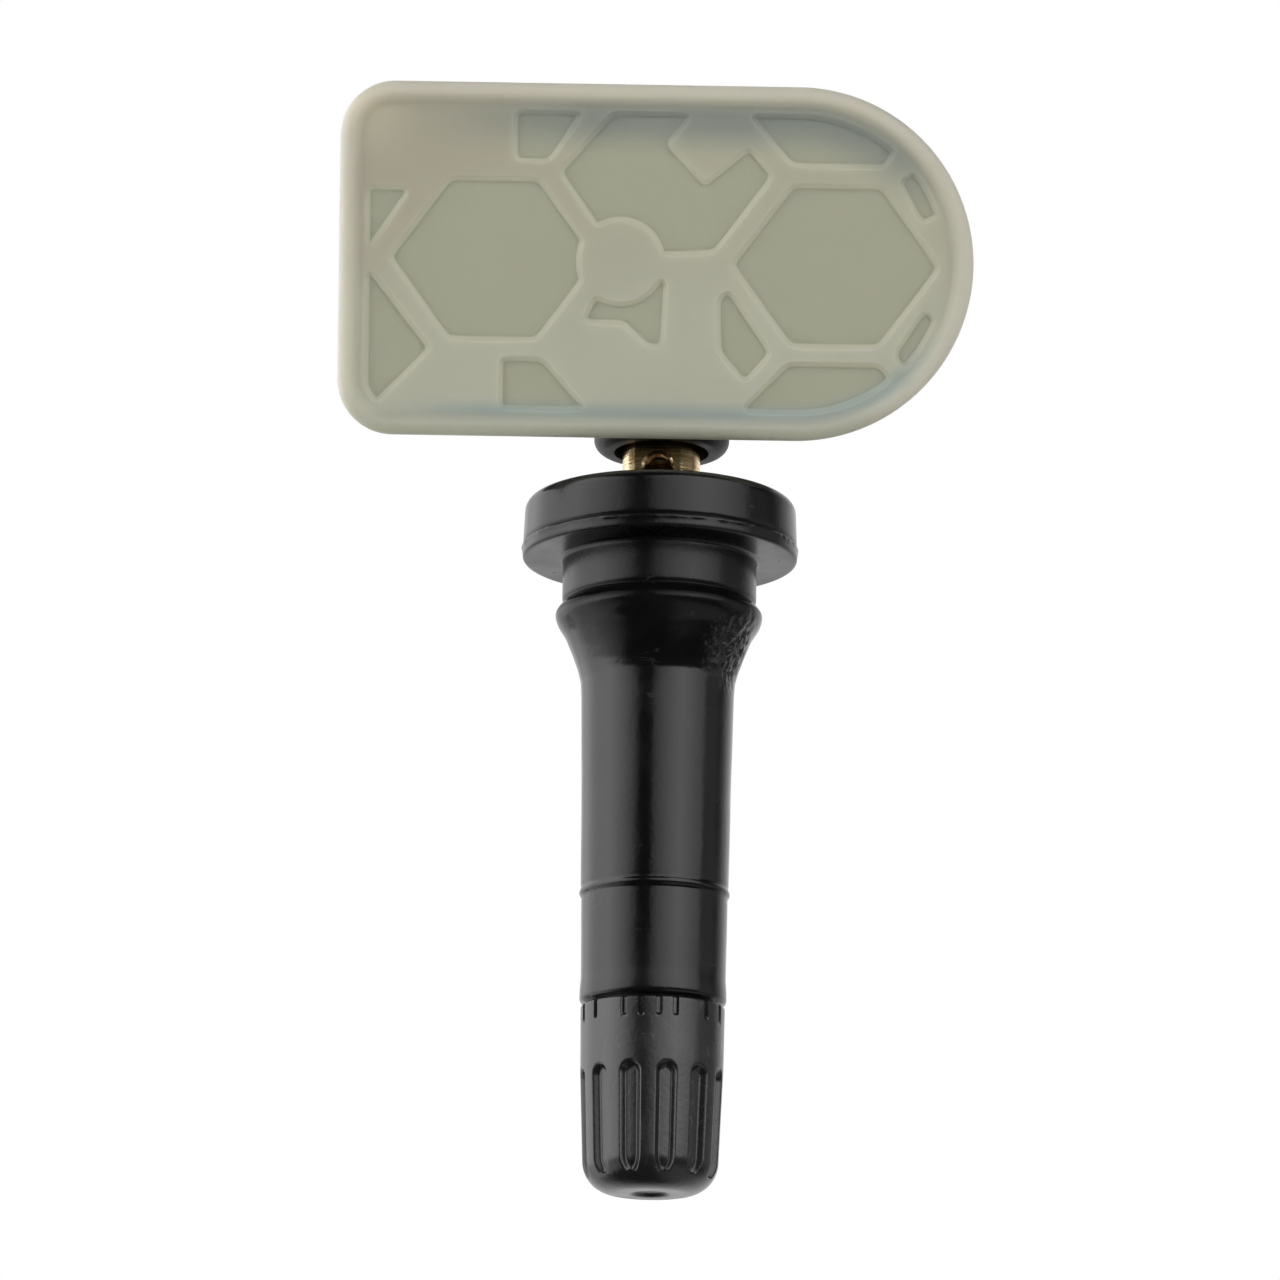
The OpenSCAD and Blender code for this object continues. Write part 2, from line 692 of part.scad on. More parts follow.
// Barrel with the spring room, the inner guide and the sealing seat
module core_barrel() {
    low = plug_top + seat_gap;
    color([0.75, 0.6, 0.34]) in_core(0) rotate_extrude($fn = 64) polygon([
        [spring_room_r, low], [core_bore_d / 2 - 0.3, low], [core_bore_d / 2 - 0.3, seat_low],
        [neck_r, seat_low], [neck_r, seat_top - 0.15], [barrel_r, seat_top - 0.15],
        [barrel_r, barrel_top - 0.2], [barrel_r - 0.2, barrel_top], [barrel_r - 0.5, barrel_top],
        [barrel_r - 0.5, guide_top], [pin_r + run_gap, guide_top], [pin_r + run_gap, guide_low],
        [spring_room_r, guide_low]]);
}

// Tapered ring that seals the barrel in the stem's cone
module core_gasket() {
    r_low = core_bore_d / 2 - 0.08;
    r_high = chamber_d / 2 + 0.06;
    color([0.85, 0.83, 0.78]) in_core(0) rotate_extrude($fn = 64) polygon([
        [neck_r + seat_gap, seat_low + seat_gap], [r_low, seat_low + seat_gap],
        [r_high, seat_top - 0.2], [neck_r + seat_gap, seat_top - 0.2]]);
}

// Wire coil swept as a tube along a helix
module coil(mean_r, wire_r, turns, height, sides = 6, per_turn = 14) {
    rings = turns * per_turn;
    points = [for (i = [0:rings], j = [0:sides - 1])
        let (
            a = 360 * i / per_turn,
            b = 360 * j / sides,
            r = mean_r + wire_r * cos(b)
        )
        [r * cos(a), r * sin(a), wire_r + (height - 2 * wire_r) * i / rings + wire_r * sin(b)]];
    sides_faces = [for (i = [0:rings - 1], j = [0:sides - 1])
        [i * sides + j, i * sides + (j + 1) % sides, (i + 1) * sides + (j + 1) % sides,
         (i + 1) * sides + j]];
    low_end = [[for (j = [sides - 1:-1:0]) j]];
    high_end = [[for (j = [0:sides - 1]) rings * sides + j]];
    polyhedron(points, concat(sides_faces, low_end, high_end), convexity = 4);
}

// Return spring round the pin
module core_spring() {
    color([0.7, 0.7, 0.7]) in_core(pin_collar_top + seat_gap)
        coil(pin_r + 0.25, 0.12, spring_turns, guide_low - pin_collar_top - 2 * seat_gap);
}

// Pin with the collar that the spring pushes on
module core_pin() {
    color([0.8, 0.65, 0.36]) in_core(0) rotate_extrude($fn = 48) polygon([
        [0, plug_low - 0.1], [pin_r - 0.15, plug_low - 0.1], [pin_r, plug_low + 0.1],
        [pin_r, pin_collar_low], [pin_r + 0.4, pin_collar_low], [pin_r + 0.4, pin_collar_top],
        [pin_r, pin_collar_top], [pin_r, pin_top], [0, pin_top]]);
}

// Metal cup that backs the seal
module core_cup() {
    color([0.76, 0.6, 0.32]) in_core(barrel_top + seal_t + seat_gap) difference() {
        cylinder(r = barrel_r + 0.1, h = cup_t, $fn = 64);
        translate([0, 0, -past]) cylinder(r = pin_r + seat_gap, h = cup_t + 2 * past, $fn = 48);
    }
}

// Rubber washer that closes the barrel
module core_seal() {
    color([0.5, 0.12, 0.1]) in_core(barrel_top + seat_gap) difference() {
        cylinder(r = barrel_r, h = seal_t - seat_gap, $fn = 64);
        translate([0, 0, -past]) cylinder(r = pin_r + seat_gap, h = seal_t + 2 * past, $fn = 48);
    }
}

// Ring that seals the cap on the tip of the stem
module cap_seal() {
    color([0.16, 0.16, 0.16]) translate([0, 0, tip_z - seat_gap - cap_seal_t]) difference() {
        cylinder(r = thread_d / 2 - 0.05, h = cap_seal_t);
        translate([0, 0, -past]) cylinder(r = plug_r - 1, h = cap_seal_t + 2 * past);
    }
}

// Dust cap with mouth slots, finger flutes and a dimpled end
module valve_cap() {
    r = cap_d / 2;
    r_end = cap_end_d / 2;
    edge = 2.2;
    dimple_r = 1.35;
    dimple_depth = 0.35;
    mouth_chamfer = 0.3;
    bore_r = thread_d / 2 + run_gap;
    bore_end = tip_z - cap_seal_t - 2 * seat_gap;
    flute_r = (flute_w * flute_w / 4 + flute_depth * flute_depth) / (2 * flute_depth);
    flute_centre = r_end + flute_r - flute_depth;
    flute_low = cap_end_z + 1.1;
    flute_h = cap_mouth_z - flute_top - flute_r - flute_low;
    color([0.16, 0.16, 0.165]) difference() {
        rotate_extrude() polygon(concat(
            [[bore_r, bore_end], [bore_r, cap_mouth_z - mouth_chamfer],
             [bore_r + mouth_chamfer, cap_mouth_z], [r - 0.08, cap_mouth_z], [r, cap_mouth_z - 0.1],
             [r - 0.05, cap_mouth_z - flute_top]],
            arc([r_end - edge, cap_end_z + edge], edge, 0, -78, 8),
            [[r_end - edge, cap_end_z], [dimple_r, cap_end_z],
             [dimple_r * 0.75, cap_end_z + dimple_depth * 0.7],
             [dimple_r * 0.4, cap_end_z + dimple_depth], [0, cap_end_z + dimple_depth], [0, bore_end]]
        ));
        for (i = [0:flute_count - 1]) rotate((i + 0.4) * 360 / flute_count - 90)
            translate([flute_centre, 0, flute_low]) {
                cylinder(r = flute_r, h = flute_h, $fn = 40);
                translate([0, 0, flute_h]) sphere(r = flute_r, $fn = 40);
                sphere(r = flute_r, $fn = 40);
            }
        for (i = [0:slot_count - 1]) rotate(i * 360 / slot_count)
            translate([r - 0.35, -slot_w / 2, cap_mouth_z - slot_h]) cube([past, slot_w, slot_h + past]);
    }
}

front_cover();
rear_shell();
circuit_board();
coin_cell();
battery_tab_negative();
battery_tab_positive();
sensor_chip();
port_seal();
coil_core();
coil_winding();
antenna_strap();
crystal();
capacitors();
clamp_screw();
brass_stem();
rubber_valve();
core_plug();
core_barrel();
core_gasket();
core_spring();
core_pin();
core_cup();
core_seal();
cap_seal();
valve_cap();
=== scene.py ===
"""Tyre pressure sensor on a snap-in rubber valve: moulded pieces, finishes and studio."""

import json
import math
from functools import reduce

import bmesh
import bpy
import numpy
from bpy.props import FloatProperty, FloatVectorProperty, IntProperty, PointerProperty
from mathutils import Matrix, Vector
from mathutils.geometry import delaunay_2d_cdt
from mathutils.noise import noise


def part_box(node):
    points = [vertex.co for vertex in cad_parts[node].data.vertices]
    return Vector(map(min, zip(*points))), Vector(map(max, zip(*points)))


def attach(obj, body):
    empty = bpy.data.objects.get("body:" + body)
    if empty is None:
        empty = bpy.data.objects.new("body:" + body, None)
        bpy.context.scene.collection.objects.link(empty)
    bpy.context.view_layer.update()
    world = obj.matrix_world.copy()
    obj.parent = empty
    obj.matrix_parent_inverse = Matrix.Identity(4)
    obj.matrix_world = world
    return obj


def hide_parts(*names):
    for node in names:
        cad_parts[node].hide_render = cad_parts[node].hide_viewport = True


bl_info = {
    "name": "Tyre pressure sensor",
    "version": (1, 0, 0),
    "blender": (4, 5, 0),
    "location": "View3D > Sidebar > Tyre Sensor",
    "description": "Builds the cover, rubber, cap, brass and finishes of a tyre pressure sensor",
    "category": "Object",
}

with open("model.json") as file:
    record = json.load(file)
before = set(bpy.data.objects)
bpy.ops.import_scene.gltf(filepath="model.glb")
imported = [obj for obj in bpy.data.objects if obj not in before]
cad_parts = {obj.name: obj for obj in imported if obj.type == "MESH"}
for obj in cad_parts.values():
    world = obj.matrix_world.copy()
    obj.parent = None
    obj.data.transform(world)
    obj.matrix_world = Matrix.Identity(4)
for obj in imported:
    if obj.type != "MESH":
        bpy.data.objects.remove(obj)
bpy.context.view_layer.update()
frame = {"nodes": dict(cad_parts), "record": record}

MM = 0.001
VALVE = "valve"
CAP = "cap"
IMAGE_SIZE = 1280


def heights(node):
    """Lowest and highest point of a carried-over node, in millimetres."""
    return tuple(corner.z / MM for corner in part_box(node))


SHAFT_END = heights("rubber_valve")[0]
TIP, TENON_TOP = heights("brass_stem")
CAP_END, CAP_MOUTH = heights("valve_cap")

# Collar of the brass inside the rubber, the film between the two, and the cap's thread and its play
COLLAR = 4.0
COLLAR_FOOT = 1.0
COLLAR_TOP = 2.2
FILM = 0.02
THREAD_TOP = SHAFT_END + 1.0
THREAD_PLAY = 0.06

# Place of the housing's face: middle of its lower front edge, and how far it leans
FACE_ORIGIN = Vector((-0.6, -6.0, 7.1))
FACE_TILT = math.radians(18)
FACE_RIGHT = Vector((1, 0, 0))
FACE_UP = Vector((0, -math.sin(FACE_TILT), math.cos(FACE_TILT)))
FACE_OUT = Vector((0, -math.cos(FACE_TILT), -math.sin(FACE_TILT)))


def length_property(label, about, value):
    """A size in millimetres."""
    return FloatProperty(name=label, description=about, default=value, min=0.0)


def share_property(label, about, value):
    """A number from 0 to 1."""
    return FloatProperty(name=label, description=about, default=value, min=0.0, max=1.0,
                         subtype="FACTOR")


def colour_property(label, about, value):
    """A linear colour."""
    return FloatVectorProperty(name=label, description=about, default=value, size=3,
                               min=0.0, max=1.0, subtype="COLOR")


class SensorHousingSettings(bpy.types.PropertyGroup):
    """Sizes of the ribbed cover, in millimetres."""

    width: length_property("Width", "Width of the housing", 43.5)
    height: length_property("Height", "Height of the housing's face", 24.2)
    corner: length_property("Corner radius", "Radius of the two square-end corners", 3.8)
    depth: length_property("Cover depth", "Depth of the cover behind its lip", 4.2)
    lip_width: length_property("Lip width", "From the outside edge to the ribbed face", 1.65)
    lip_round: length_property("Lip radius", "Radius of the lip's outer edge", 0.8)
    lip_drop: length_property("Lip drop", "Depth of the ribbed face below the lip", 0.36)
    face_thickness: length_property("Face thickness", "Thickness of the face behind the ribs", 1.8)
    skirt: length_property("Skirt thickness", "Thickness of the cover's skirt", 1.3)
    pocket_depth: length_property("Pocket depth", "Depth of the pockets between the ribs", 0.26)
    rib_round: length_property("Rib edge radius", "Radius along the top of the ribs", 0.18)
    floor_round: length_property("Pocket floor radius", "Radius along the pocket floors", 0.22)
    pad_radius: length_property("Pad radius", "Radius of the round pad between the cells", 2.97)
    socket_room: length_property("Socket room", "Radius of the notch round the socket", 4.85)


class ValveSettings(bpy.types.PropertyGroup):
    """Sizes of the rubber valve and the brass stem, in millimetres."""

    flange: length_property("Flange radius", "Radius of the flange", 9.5)
    flange_height: length_property("Flange height", "Height of the flange's top rim", 4.2)
    parting: length_property("Parting height", "Height of the moulding flash", 0.8)
    neck: length_property("Groove radius", "Radius of the groove that the rim grips", 6.7)
    neck_height: length_property("Groove length", "Length of the groove", 3.1)
    bulge: length_property("Bulge radius", "Widest radius of the snap-in bulge", 7.15)
    shaft: length_property("Shaft radius", "Radius of the shaft below the bulge", 5.25)
    shaft_end: length_property("Shaft end radius", "Radius of the shaft at its end", 4.95)
    ring_height: length_property("Ring depth", "Distance from the seat to the moulded ring", 23.5)
    stem: length_property("Stem radius", "Radius of the brass above the flange", 2.7)
    insert: length_property("Insert radius", "Radius of the brass inside the rubber", 3.2)
    flats: length_property("Across flats", "Distance across the two flats", 4.34)
    air_hole: length_property("Air hole", "Diameter of the cross hole", 1.9)
    air_hole_height: length_property("Air hole height", "Height of the cross hole", 6.25)
    thread: length_property("Thread radius", "Outer radius of the cap thread", 3.85)
    thread_depth: length_property("Thread depth", "Height of the thread's ridge", 0.46)
    pitch: length_property("Pitch", "Pitch of the cap thread", 0.79375)


class CapSettings(bpy.types.PropertyGroup):
    """Sizes of the cap, in millimetres."""

    radius: length_property("Mouth radius", "Radius of the cap at its mouth", 4.9)
    end_radius: length_property("End radius", "Radius where the end starts to round", 4.6)
    end_round: length_property("End rounding", "Radius of the end's edge", 2.2)
    dimple: length_property("Dimple radius", "Radius of the dimple in the end", 1.35)
    dimple_depth: length_property("Dimple depth", "Depth of the dimple", 0.35)
    flutes: IntProperty(name="Flutes", description="Number of finger flutes", default=12, min=3)
    flute_width: length_property("Flute width", "Width of one flute", 1.6)
    flute_depth: length_property("Flute depth", "Depth of one flute", 0.45)
    flute_top: length_property("Flute top", "From the mouth to the top of the flutes", 4.35)
    flute_bottom: length_property("Flute bottom", "From the end to the bottom of the flutes", 2.1)
    slot_groups: IntProperty(name="Slot groups", description="Groups of six slots round the mouth",
                             default=3, min=1)
    slot_width: length_property("Slot width", "Width of one slot", 0.36)
    slot_height: length_property("Slot height", "Height of one slot", 1.25)
    slot_depth: length_property("Slot depth", "Depth of one slot", 0.26)


class FinishSettings(bpy.types.PropertyGroup):
    """Colours and gloss of the materials."""

    cover: colour_property("Cover", "Milky cover plastic", (0.482, 0.478, 0.38))
    # Painted light: the paler colour along the lip stands in for light shining through its
    # translucent edge
    cover_painted_glow: colour_property("Lip edge", "Paler plastic along the lip", (0.55, 0.525, 0.455))
    shell: colour_property("Shell", "Black shell plastic", (0.012, 0.012, 0.0125))
    rubber: colour_property("Rubber", "Black rubber", (0.003, 0.003, 0.003))
    rubber_scuff: colour_property("Scuffed rubber", "Rubber where it is scuffed",
                                  (0.035, 0.034, 0.033))
    cap: colour_property("Cap", "Dark cap plastic", (0.009, 0.009, 0.0094))
    brass: colour_property("Brass", "Turned brass", (0.93, 0.74, 0.45))
    brass_dull: colour_property("Dull brass", "Brass in the tool marks", (0.58, 0.38, 0.17))
    rubber_gloss: share_property("Rubber roughness", "Roughness of the rubber", 0.16)
    cap_gloss: share_property("Cap roughness", "Roughness of the cap", 0.24)
    cover_gloss: share_property("Cover roughness", "Roughness of the cover", 0.48)


class StudioSettings(bpy.types.PropertyGroup):
    """Camera and lights."""

    distance: FloatProperty(name="Distance", description="From the camera to the valve axis",
                            default=0.4, min=0.1, unit="LENGTH")
    rise: FloatProperty(name="Rise", description="How far the camera looks up",
                        default=math.radians(14.1), subtype="ANGLE")
    roll: FloatProperty(name="Roll", description="Turn of the camera about its axis",
                        default=math.radians(0.95), subtype="ANGLE")
    focal_pixels: FloatProperty(name="Focal length in pixels",
                                description="Focal length over the pixel size",
                                default=5797.0, min=100.0)
    left_light: FloatProperty(name="Left light", description="Brightness of the left softboxes",
                              default=1.0, min=0.0)
    right_light: FloatProperty(name="Right light", description="Brightness of the right softbox",
                               default=1.0, min=0.0)


SETTINGS = {
    "sensor_housing": SensorHousingSettings,
    "sensor_valve": ValveSettings,
    "sensor_cap": CapSettings,
    "sensor_finish": FinishSettings,
    "sensor_studio": StudioSettings,
}


class Graph:
    """Short forms for building a node tree."""

    def __init__(self, tree):
        self.tree = tree

    def add(self, kind, **settings):
        """Adds a node and sets its properties."""
        node = self.tree.nodes.new(kind)
        for key, value in settings.items():
            setattr(node, key, value)
        return node

    def put(self, socket, value):
        """Links a socket to another, or sets its value."""
        if isinstance(value, bpy.types.NodeSocket):
            self.tree.links.new(value, socket)
        elif value is not None:
            socket.default_value = value

    def math(self, operation, *values):
        """A Math node on numbers or sockets."""
        node = self.add("ShaderNodeMath", operation=operation)
        for socket, value in zip(node.inputs, values):
            self.put(socket, value)
        return node.outputs[0]

    def vector(self, operation, *values):
        """A Vector Math node; it gives the vector, or the number for dot, length and distance."""
        node = self.add("ShaderNodeVectorMath", operation=operation)
        sockets = [s for s in node.inputs if s.name != "Scale"]
        for socket, value in zip(sockets, values):
            self.put(socket, value)
        scalar = operation in {"DOT_PRODUCT", "LENGTH", "DISTANCE"}
        return node.outputs["Value" if scalar else "Vector"]

    def product(self, *values):
        """All the values multiplied together."""
        return reduce(lambda first, second: self.math("MULTIPLY", first, second), values)

    def hypotenuse(self, first, second):
        """Root of the sum of two squares."""
        squares = self.math("MULTIPLY_ADD", first, first, self.math("MULTIPLY", second, second))
        return self.math("SQRT", squares)

    def axes(self, vector):
        """The three numbers of a vector."""
        node = self.add("ShaderNodeSeparateXYZ")
        self.put(node.inputs[0], vector)
        return node.outputs

    def point(self, *numbers):
        """A vector from its three numbers."""
        node = self.add("ShaderNodeCombineXYZ")
        for socket, number in zip(node.inputs, numbers):
            self.put(socket, number)
        return node.outputs[0]

    def smooth(self, value, start, full):
        """Smooth step from 0 at the start to 1 where it is full; the start may be the higher one."""
        node = self.add("ShaderNodeMapRange", interpolation_type="SMOOTHSTEP")
        for name, number in (("Value", value), ("From Min", start), ("From Max", full)):
            self.put(node.inputs[name], number)
        return node.outputs["Result"]

    def zone(self, *edges):
        """Product of smooth steps, each given as its value, its start and where it is full."""
        return self.product(*(self.smooth(*edge) for edge in edges))

    def ramp(self, value, span, results):
        """Straight ramp over a span between two results, held at both ends."""
        node = self.add("ShaderNodeMapRange")
        numbers = (value, *span, *results)
        for name, number in zip(("Value", "From Min", "From Max", "To Min", "To Max"), numbers):
            self.put(node.inputs[name], number)
        return node.outputs["Result"]

    def mix(self, factor, first, second):
        """Mix of two colours."""
        node = self.add("ShaderNodeMix", data_type="RGBA")
        colours = [s for s in node.inputs if s.type == "RGBA"]
        self.put(node.inputs["Factor"], factor)
        self.put(colours[0], first)
        self.put(colours[1], second)
        return [s for s in node.outputs if s.type == "RGBA"][0]

    def noise(self, coordinates, scale, detail=3.0, roughness=0.55):
        """Noise value on given coordinates."""
        node = self.add("ShaderNodeTexNoise")
        numbers = (coordinates, scale, detail, roughness)
        for name, number in zip(("Vector", "Scale", "Detail", "Roughness"), numbers):
            self.put(node.inputs[name], number)
        return node.outputs["Fac"]


def rgba(colour):
    """Four numbers from a colour of three."""
    return (colour[0], colour[1], colour[2], 1.0)


def scaled(colour, factor):
    """A paler or darker shade of a colour, as four numbers."""
    return rgba([min(1.0, c * factor) for c in colour])


def new_group(name, values, results):
    """A shader node group on a vector and named values; gives its graph, inputs and results."""
    tree = bpy.data.node_groups.new(name, "ShaderNodeTree")
    for label, default in {"Vector": (0.0, 0.0, 0.0), **values}.items():
        kind = "NodeSocketVector" if isinstance(default, tuple) else "NodeSocketFloat"
        socket = tree.interface.new_socket(label, in_out="INPUT", socket_type=kind)
        socket.default_value = default
    for label in results:
        tree.interface.new_socket(label, in_out="OUTPUT", socket_type="NodeSocketFloat")
    graph = Graph(tree)
    return graph, graph.add("NodeGroupInput").outputs, graph.add("NodeGroupOutput").inputs


def grain_group():
    """Fine moulded grain over broad unevenness, as a height and a mottle mask."""
    graph, given, result = new_group(
        "moulded_grain", {"Fine Scale": 2500.0, "Broad Scale": 240.0}, ("Height", "Mottle"))
    fine = graph.noise(given["Vector"], given["Fine Scale"], 2.0, 0.5)
    broad = graph.noise(given["Vector"], given["Broad Scale"], 4.0, 0.5)
    graph.put(result["Height"], graph.math("MULTIPLY_ADD", broad, 0.6, fine))
    graph.put(result["Mottle"], graph.smooth(broad, 0.35, 0.68))
    return graph.tree


def scuff_group():
    """Speckled scuffs inside a ball, as a mask and a height."""
    graph, given, result = new_group(
        "scuff_patch", {"Centre": (0.0, 0.0, 0.0), "Radius": 0.002, "Speckle Scale": 3200.0},
        ("Mask", "Height"))
    away = graph.vector("DISTANCE", given["Vector"], given["Centre"])
    inside = graph.smooth(graph.math("DIVIDE", away, given["Radius"]), 1.0, 0.45)
    speckle = graph.noise(given["Vector"], given["Speckle Scale"], 5.0, 0.7)
    graph.put(result["Mask"], graph.product(inside, graph.smooth(speckle, 0.5, 0.66)))
    graph.put(result["Height"], graph.product(inside, speckle))
    return graph.tree


def scratch_group():
    """Sparse fine scratches that run mostly one way, as a mask."""
    graph, given, result = new_group(
        "fine_scratches", {"Stretch": (1.0, 1.0, 12.0), "Scale": 900.0, "Amount": 0.5}, ("Mask",))
    drawn = graph.vector("DIVIDE", given["Vector"], given["Stretch"])
    lines = graph.noise(drawn, given["Scale"], 1.0, 0.5)
    thin = graph.smooth(graph.math("ABSOLUTE", graph.math("SUBTRACT", lines, 0.5)), 0.012, 0.0)
    where = graph.noise(given["Vector"], 420.0, 2.0)
    bound = graph.math("SUBTRACT", 0.72, graph.math("MULTIPLY", given["Amount"], 0.2))
    patchy = graph.math("GREATER_THAN", where, bound)
    graph.put(result["Mask"], graph.product(thin, patchy))
    return graph.tree


def face_group():
    """Distance from the housing's outline, place across and up its face, and depth, in metres."""
    graph, given, result = new_group(
        "face_frame", {"Half Height": 0.012, "Round Centre": 0.01, "Left Edge": -0.022},
        ("Inset", "Across", "Up", "Depth"))
    local = graph.vector("SUBTRACT", given["Vector"], tuple(FACE_ORIGIN * MM))
    across = graph.vector("DOT_PRODUCT", local, tuple(FACE_RIGHT))
    from_foot = graph.vector("DOT_PRODUCT", local, tuple(FACE_UP))
    up = graph.math("SUBTRACT", from_foot, given["Half Height"])
    beyond = graph.math("MAXIMUM", graph.math("SUBTRACT", across, given["Round Centre"]), 0.0)
    round_inset = graph.math("SUBTRACT", given["Half Height"], graph.hypotenuse(beyond, up))
    left_inset = graph.math("SUBTRACT", across, given["Left Edge"])
    graph.put(result["Inset"], graph.math("SMOOTH_MIN", round_inset, left_inset, 0.002))
    graph.put(result["Across"], across)
    graph.put(result["Up"], up)
    graph.put(result["Depth"], graph.vector("DOT_PRODUCT", local, tuple(-FACE_OUT)))
    return graph.tree


GROUP_MAKERS = {
    "moulded_grain": grain_group,
    "scuff_patch": scuff_group,
    "fine_scratches": scratch_group,
    "face_frame": face_group,
}


def group_node(graph, name, **values):
    """Places a shared group in a material, with its own values."""
    tree = bpy.data.node_groups.get(name) or GROUP_MAKERS[name]()
    node = graph.add("ShaderNodeGroup", node_tree=tree)
    for label, value in values.items():
        graph.put(node.inputs[label.replace("_", " ").title()], value)
    return node


def new_material(name):
    """A material with its graph, its shader and the object coordinates."""
    material = bpy.data.materials.new(name)
    material.use_nodes = True
    graph = Graph(material.node_tree)
    shader = material.node_tree.nodes["Principled BSDF"]
    place = graph.add("ShaderNodeTexCoord").outputs["Object"]
    return material, graph, shader, place


def bump(graph, shader, height, distance):
    """Feeds a height through a Bump node to the shader's normal."""
    node = graph.add("ShaderNodeBump")
    node.inputs["Distance"].default_value = distance
    graph.put(node.inputs["Height"], height)
    graph.put(shader.inputs["Normal"], node.outputs["Normal"])


def mottled(graph, grain, colour, factor):
    """A colour that turns paler by a factor where the grain is mottled."""
    return graph.mix(grain.outputs["Mottle"], rgba(colour), scaled(colour, factor))


def roughness(graph, grain, rough, spread):
    """A roughness that rises by a spread where the grain is mottled."""
    return graph.math("MULTIPLY_ADD", grain.outputs["Mottle"], spread, rough)


# Edge of the ribbed face, as a distance from the outline in metres
INSIDE_LIP = ("Inset", 0.0012, 0.0018)

# Shades laid over the cover's plastic, one after another; several are painted shade and painted
# light, as their names say. Each has its strength, its factors on the plastic's red, green and blue,
# and its zone: measures of the face in metres, each with the place where the shade starts and the
# place where it is full.
COVER_SHADES = {
    "warmer upper left": (0.8, (0.93, 0.87, 0.85),
                          (("Up", -0.008, 0.009), ("Across", 0.002, -0.018))),
    "bright upper corner": (0.85, (1.18, 1.12, 1.08),
                            (("Up", 0.0055, 0.0105), ("Across", -0.0155, -0.0205))),
    # the pocket floors are made darker
    "darker pocket floors": (1.0, (0.9, 0.915, 0.875), (("Depth", 0.00042, 0.00056), INSIDE_LIP)),
    # painted light: the pocket walls are made paler, as if light fell on them
    "painted light on the pocket walls": (1.0, (1.06, 1.06, 1.045),
                     (("Depth", 0.00038, 0.00043), ("Depth", 0.0006, 0.00055), INSIDE_LIP)),
    # painted shadow: the shadow that the lip throws on the face along the top, bluish
    "bluish painted shadow below the upper lip": (1.0, (0.59, 0.64, 0.71),
                                   (("Inset", 0.0006, 0.0021), ("Inset", 0.0052, 0.0024),
                                    ("Up", 0.003, 0.009), ("Across", -0.019, -0.003))),
    # painted shade along the bottom, inside the lower lip, bluish
    "bluish painted shade above the lower lip": (1.0, (0.74, 0.87, 1.0),
                                   (("Inset", 0.0004, 0.0013), ("Inset", 0.0028, 0.0017),
                                    ("Up", -0.004, -0.0095), ("Across", -0.020, -0.010))),
    # painted shade on the downward-facing underside of the lip
    "painted shade on the underside of the lip": (0.8, (0.85, 0.86, 0.88),
                             (("Inset", 0.0018, 0.0012), ("Up", -0.0085, -0.0112))),
}


def cover_material(finish):
    """Milky satin plastic: painted light along the lip, bluish painted shade inside it,
    painted light on the pocket walls and darker pocket floors.
    """
    material, graph, shader, place = new_material("cover_plastic")
    housing = bpy.context.scene.sensor_housing
    half_width, half_height = housing.width / 2 * MM, housing.height / 2 * MM
    face = group_node(graph, "face_frame", vector=place, half_height=half_height,
                      round_centre=half_width - half_height, left_edge=-half_width).outputs
    grain = group_node(graph, "moulded_grain", vector=place, fine_scale=3200.0, broad_scale=160.0)

    def tint(*factors):
        return rgba([c * f for c, f in zip(finish.cover, factors)])

    cloud = graph.smooth(graph.noise(place, 110.0, 4.0), 0.3, 0.75)
    upper = graph.mix(cloud, tint(0.98, 0.97, 0.95), tint(0.95, 0.94, 0.92))
    lower = graph.mix(cloud, tint(1.05, 1.06, 1.08), tint(1.01, 1.02, 1.04))
    shade = graph.mix(graph.smooth(face["Up"], -0.008, 0.008), lower, upper)
    for strength, factors, edges in COVER_SHADES.values():
        zone = graph.zone(*((face[measure], start, full) for measure, start, full in edges))
        shade = graph.mix(graph.product(zone, strength), shade, tint(*factors))
    # Painted light along the lip's edge, for light shining through the milky plastic; it fades out
    # along the bottom
    painted_glow = graph.zone((face["Inset"], 0.0021, -0.0004), (face["Up"], -0.0118, -0.0085))
    graph.put(shader.inputs["Base Color"], graph.mix(painted_glow, shade, rgba(finish.cover_painted_glow)))
    graph.put(shader.inputs["Roughness"], roughness(graph, grain, finish.cover_gloss, 0.08))
    shader.inputs["Specular IOR Level"].default_value = 0.4
    shader.inputs["Subsurface Weight"].default_value = 1.0
    shader.inputs["Subsurface Radius"].default_value = (1.0, 0.98, 0.85)
    shader.inputs["Subsurface Scale"].default_value = 0.002
    bump(graph, shader, grain.outputs["Height"], 0.000012)
    return material


# Specular level of the rubber, and the most that it is lowered by
RUBBER_SHINE = 0.5
MOST_DULLED = 0.44

# Bands of the rubber that shine less than the rest: by how much, and the heights in metres at which
# each of their edges starts and is full
DULLER_BANDS = {
    "flange": (0.1, (0.0002, 0.0008)),
    "crease": (0.26, (-0.0042, -0.0038), (-0.00285, -0.0031)),
    "cone": (0.2, (-0.0085, -0.0038), (-0.003, -0.0036)),
    "groove": (0.1, (-0.0037, -0.0031), (0.00045, 0.0001)),
}


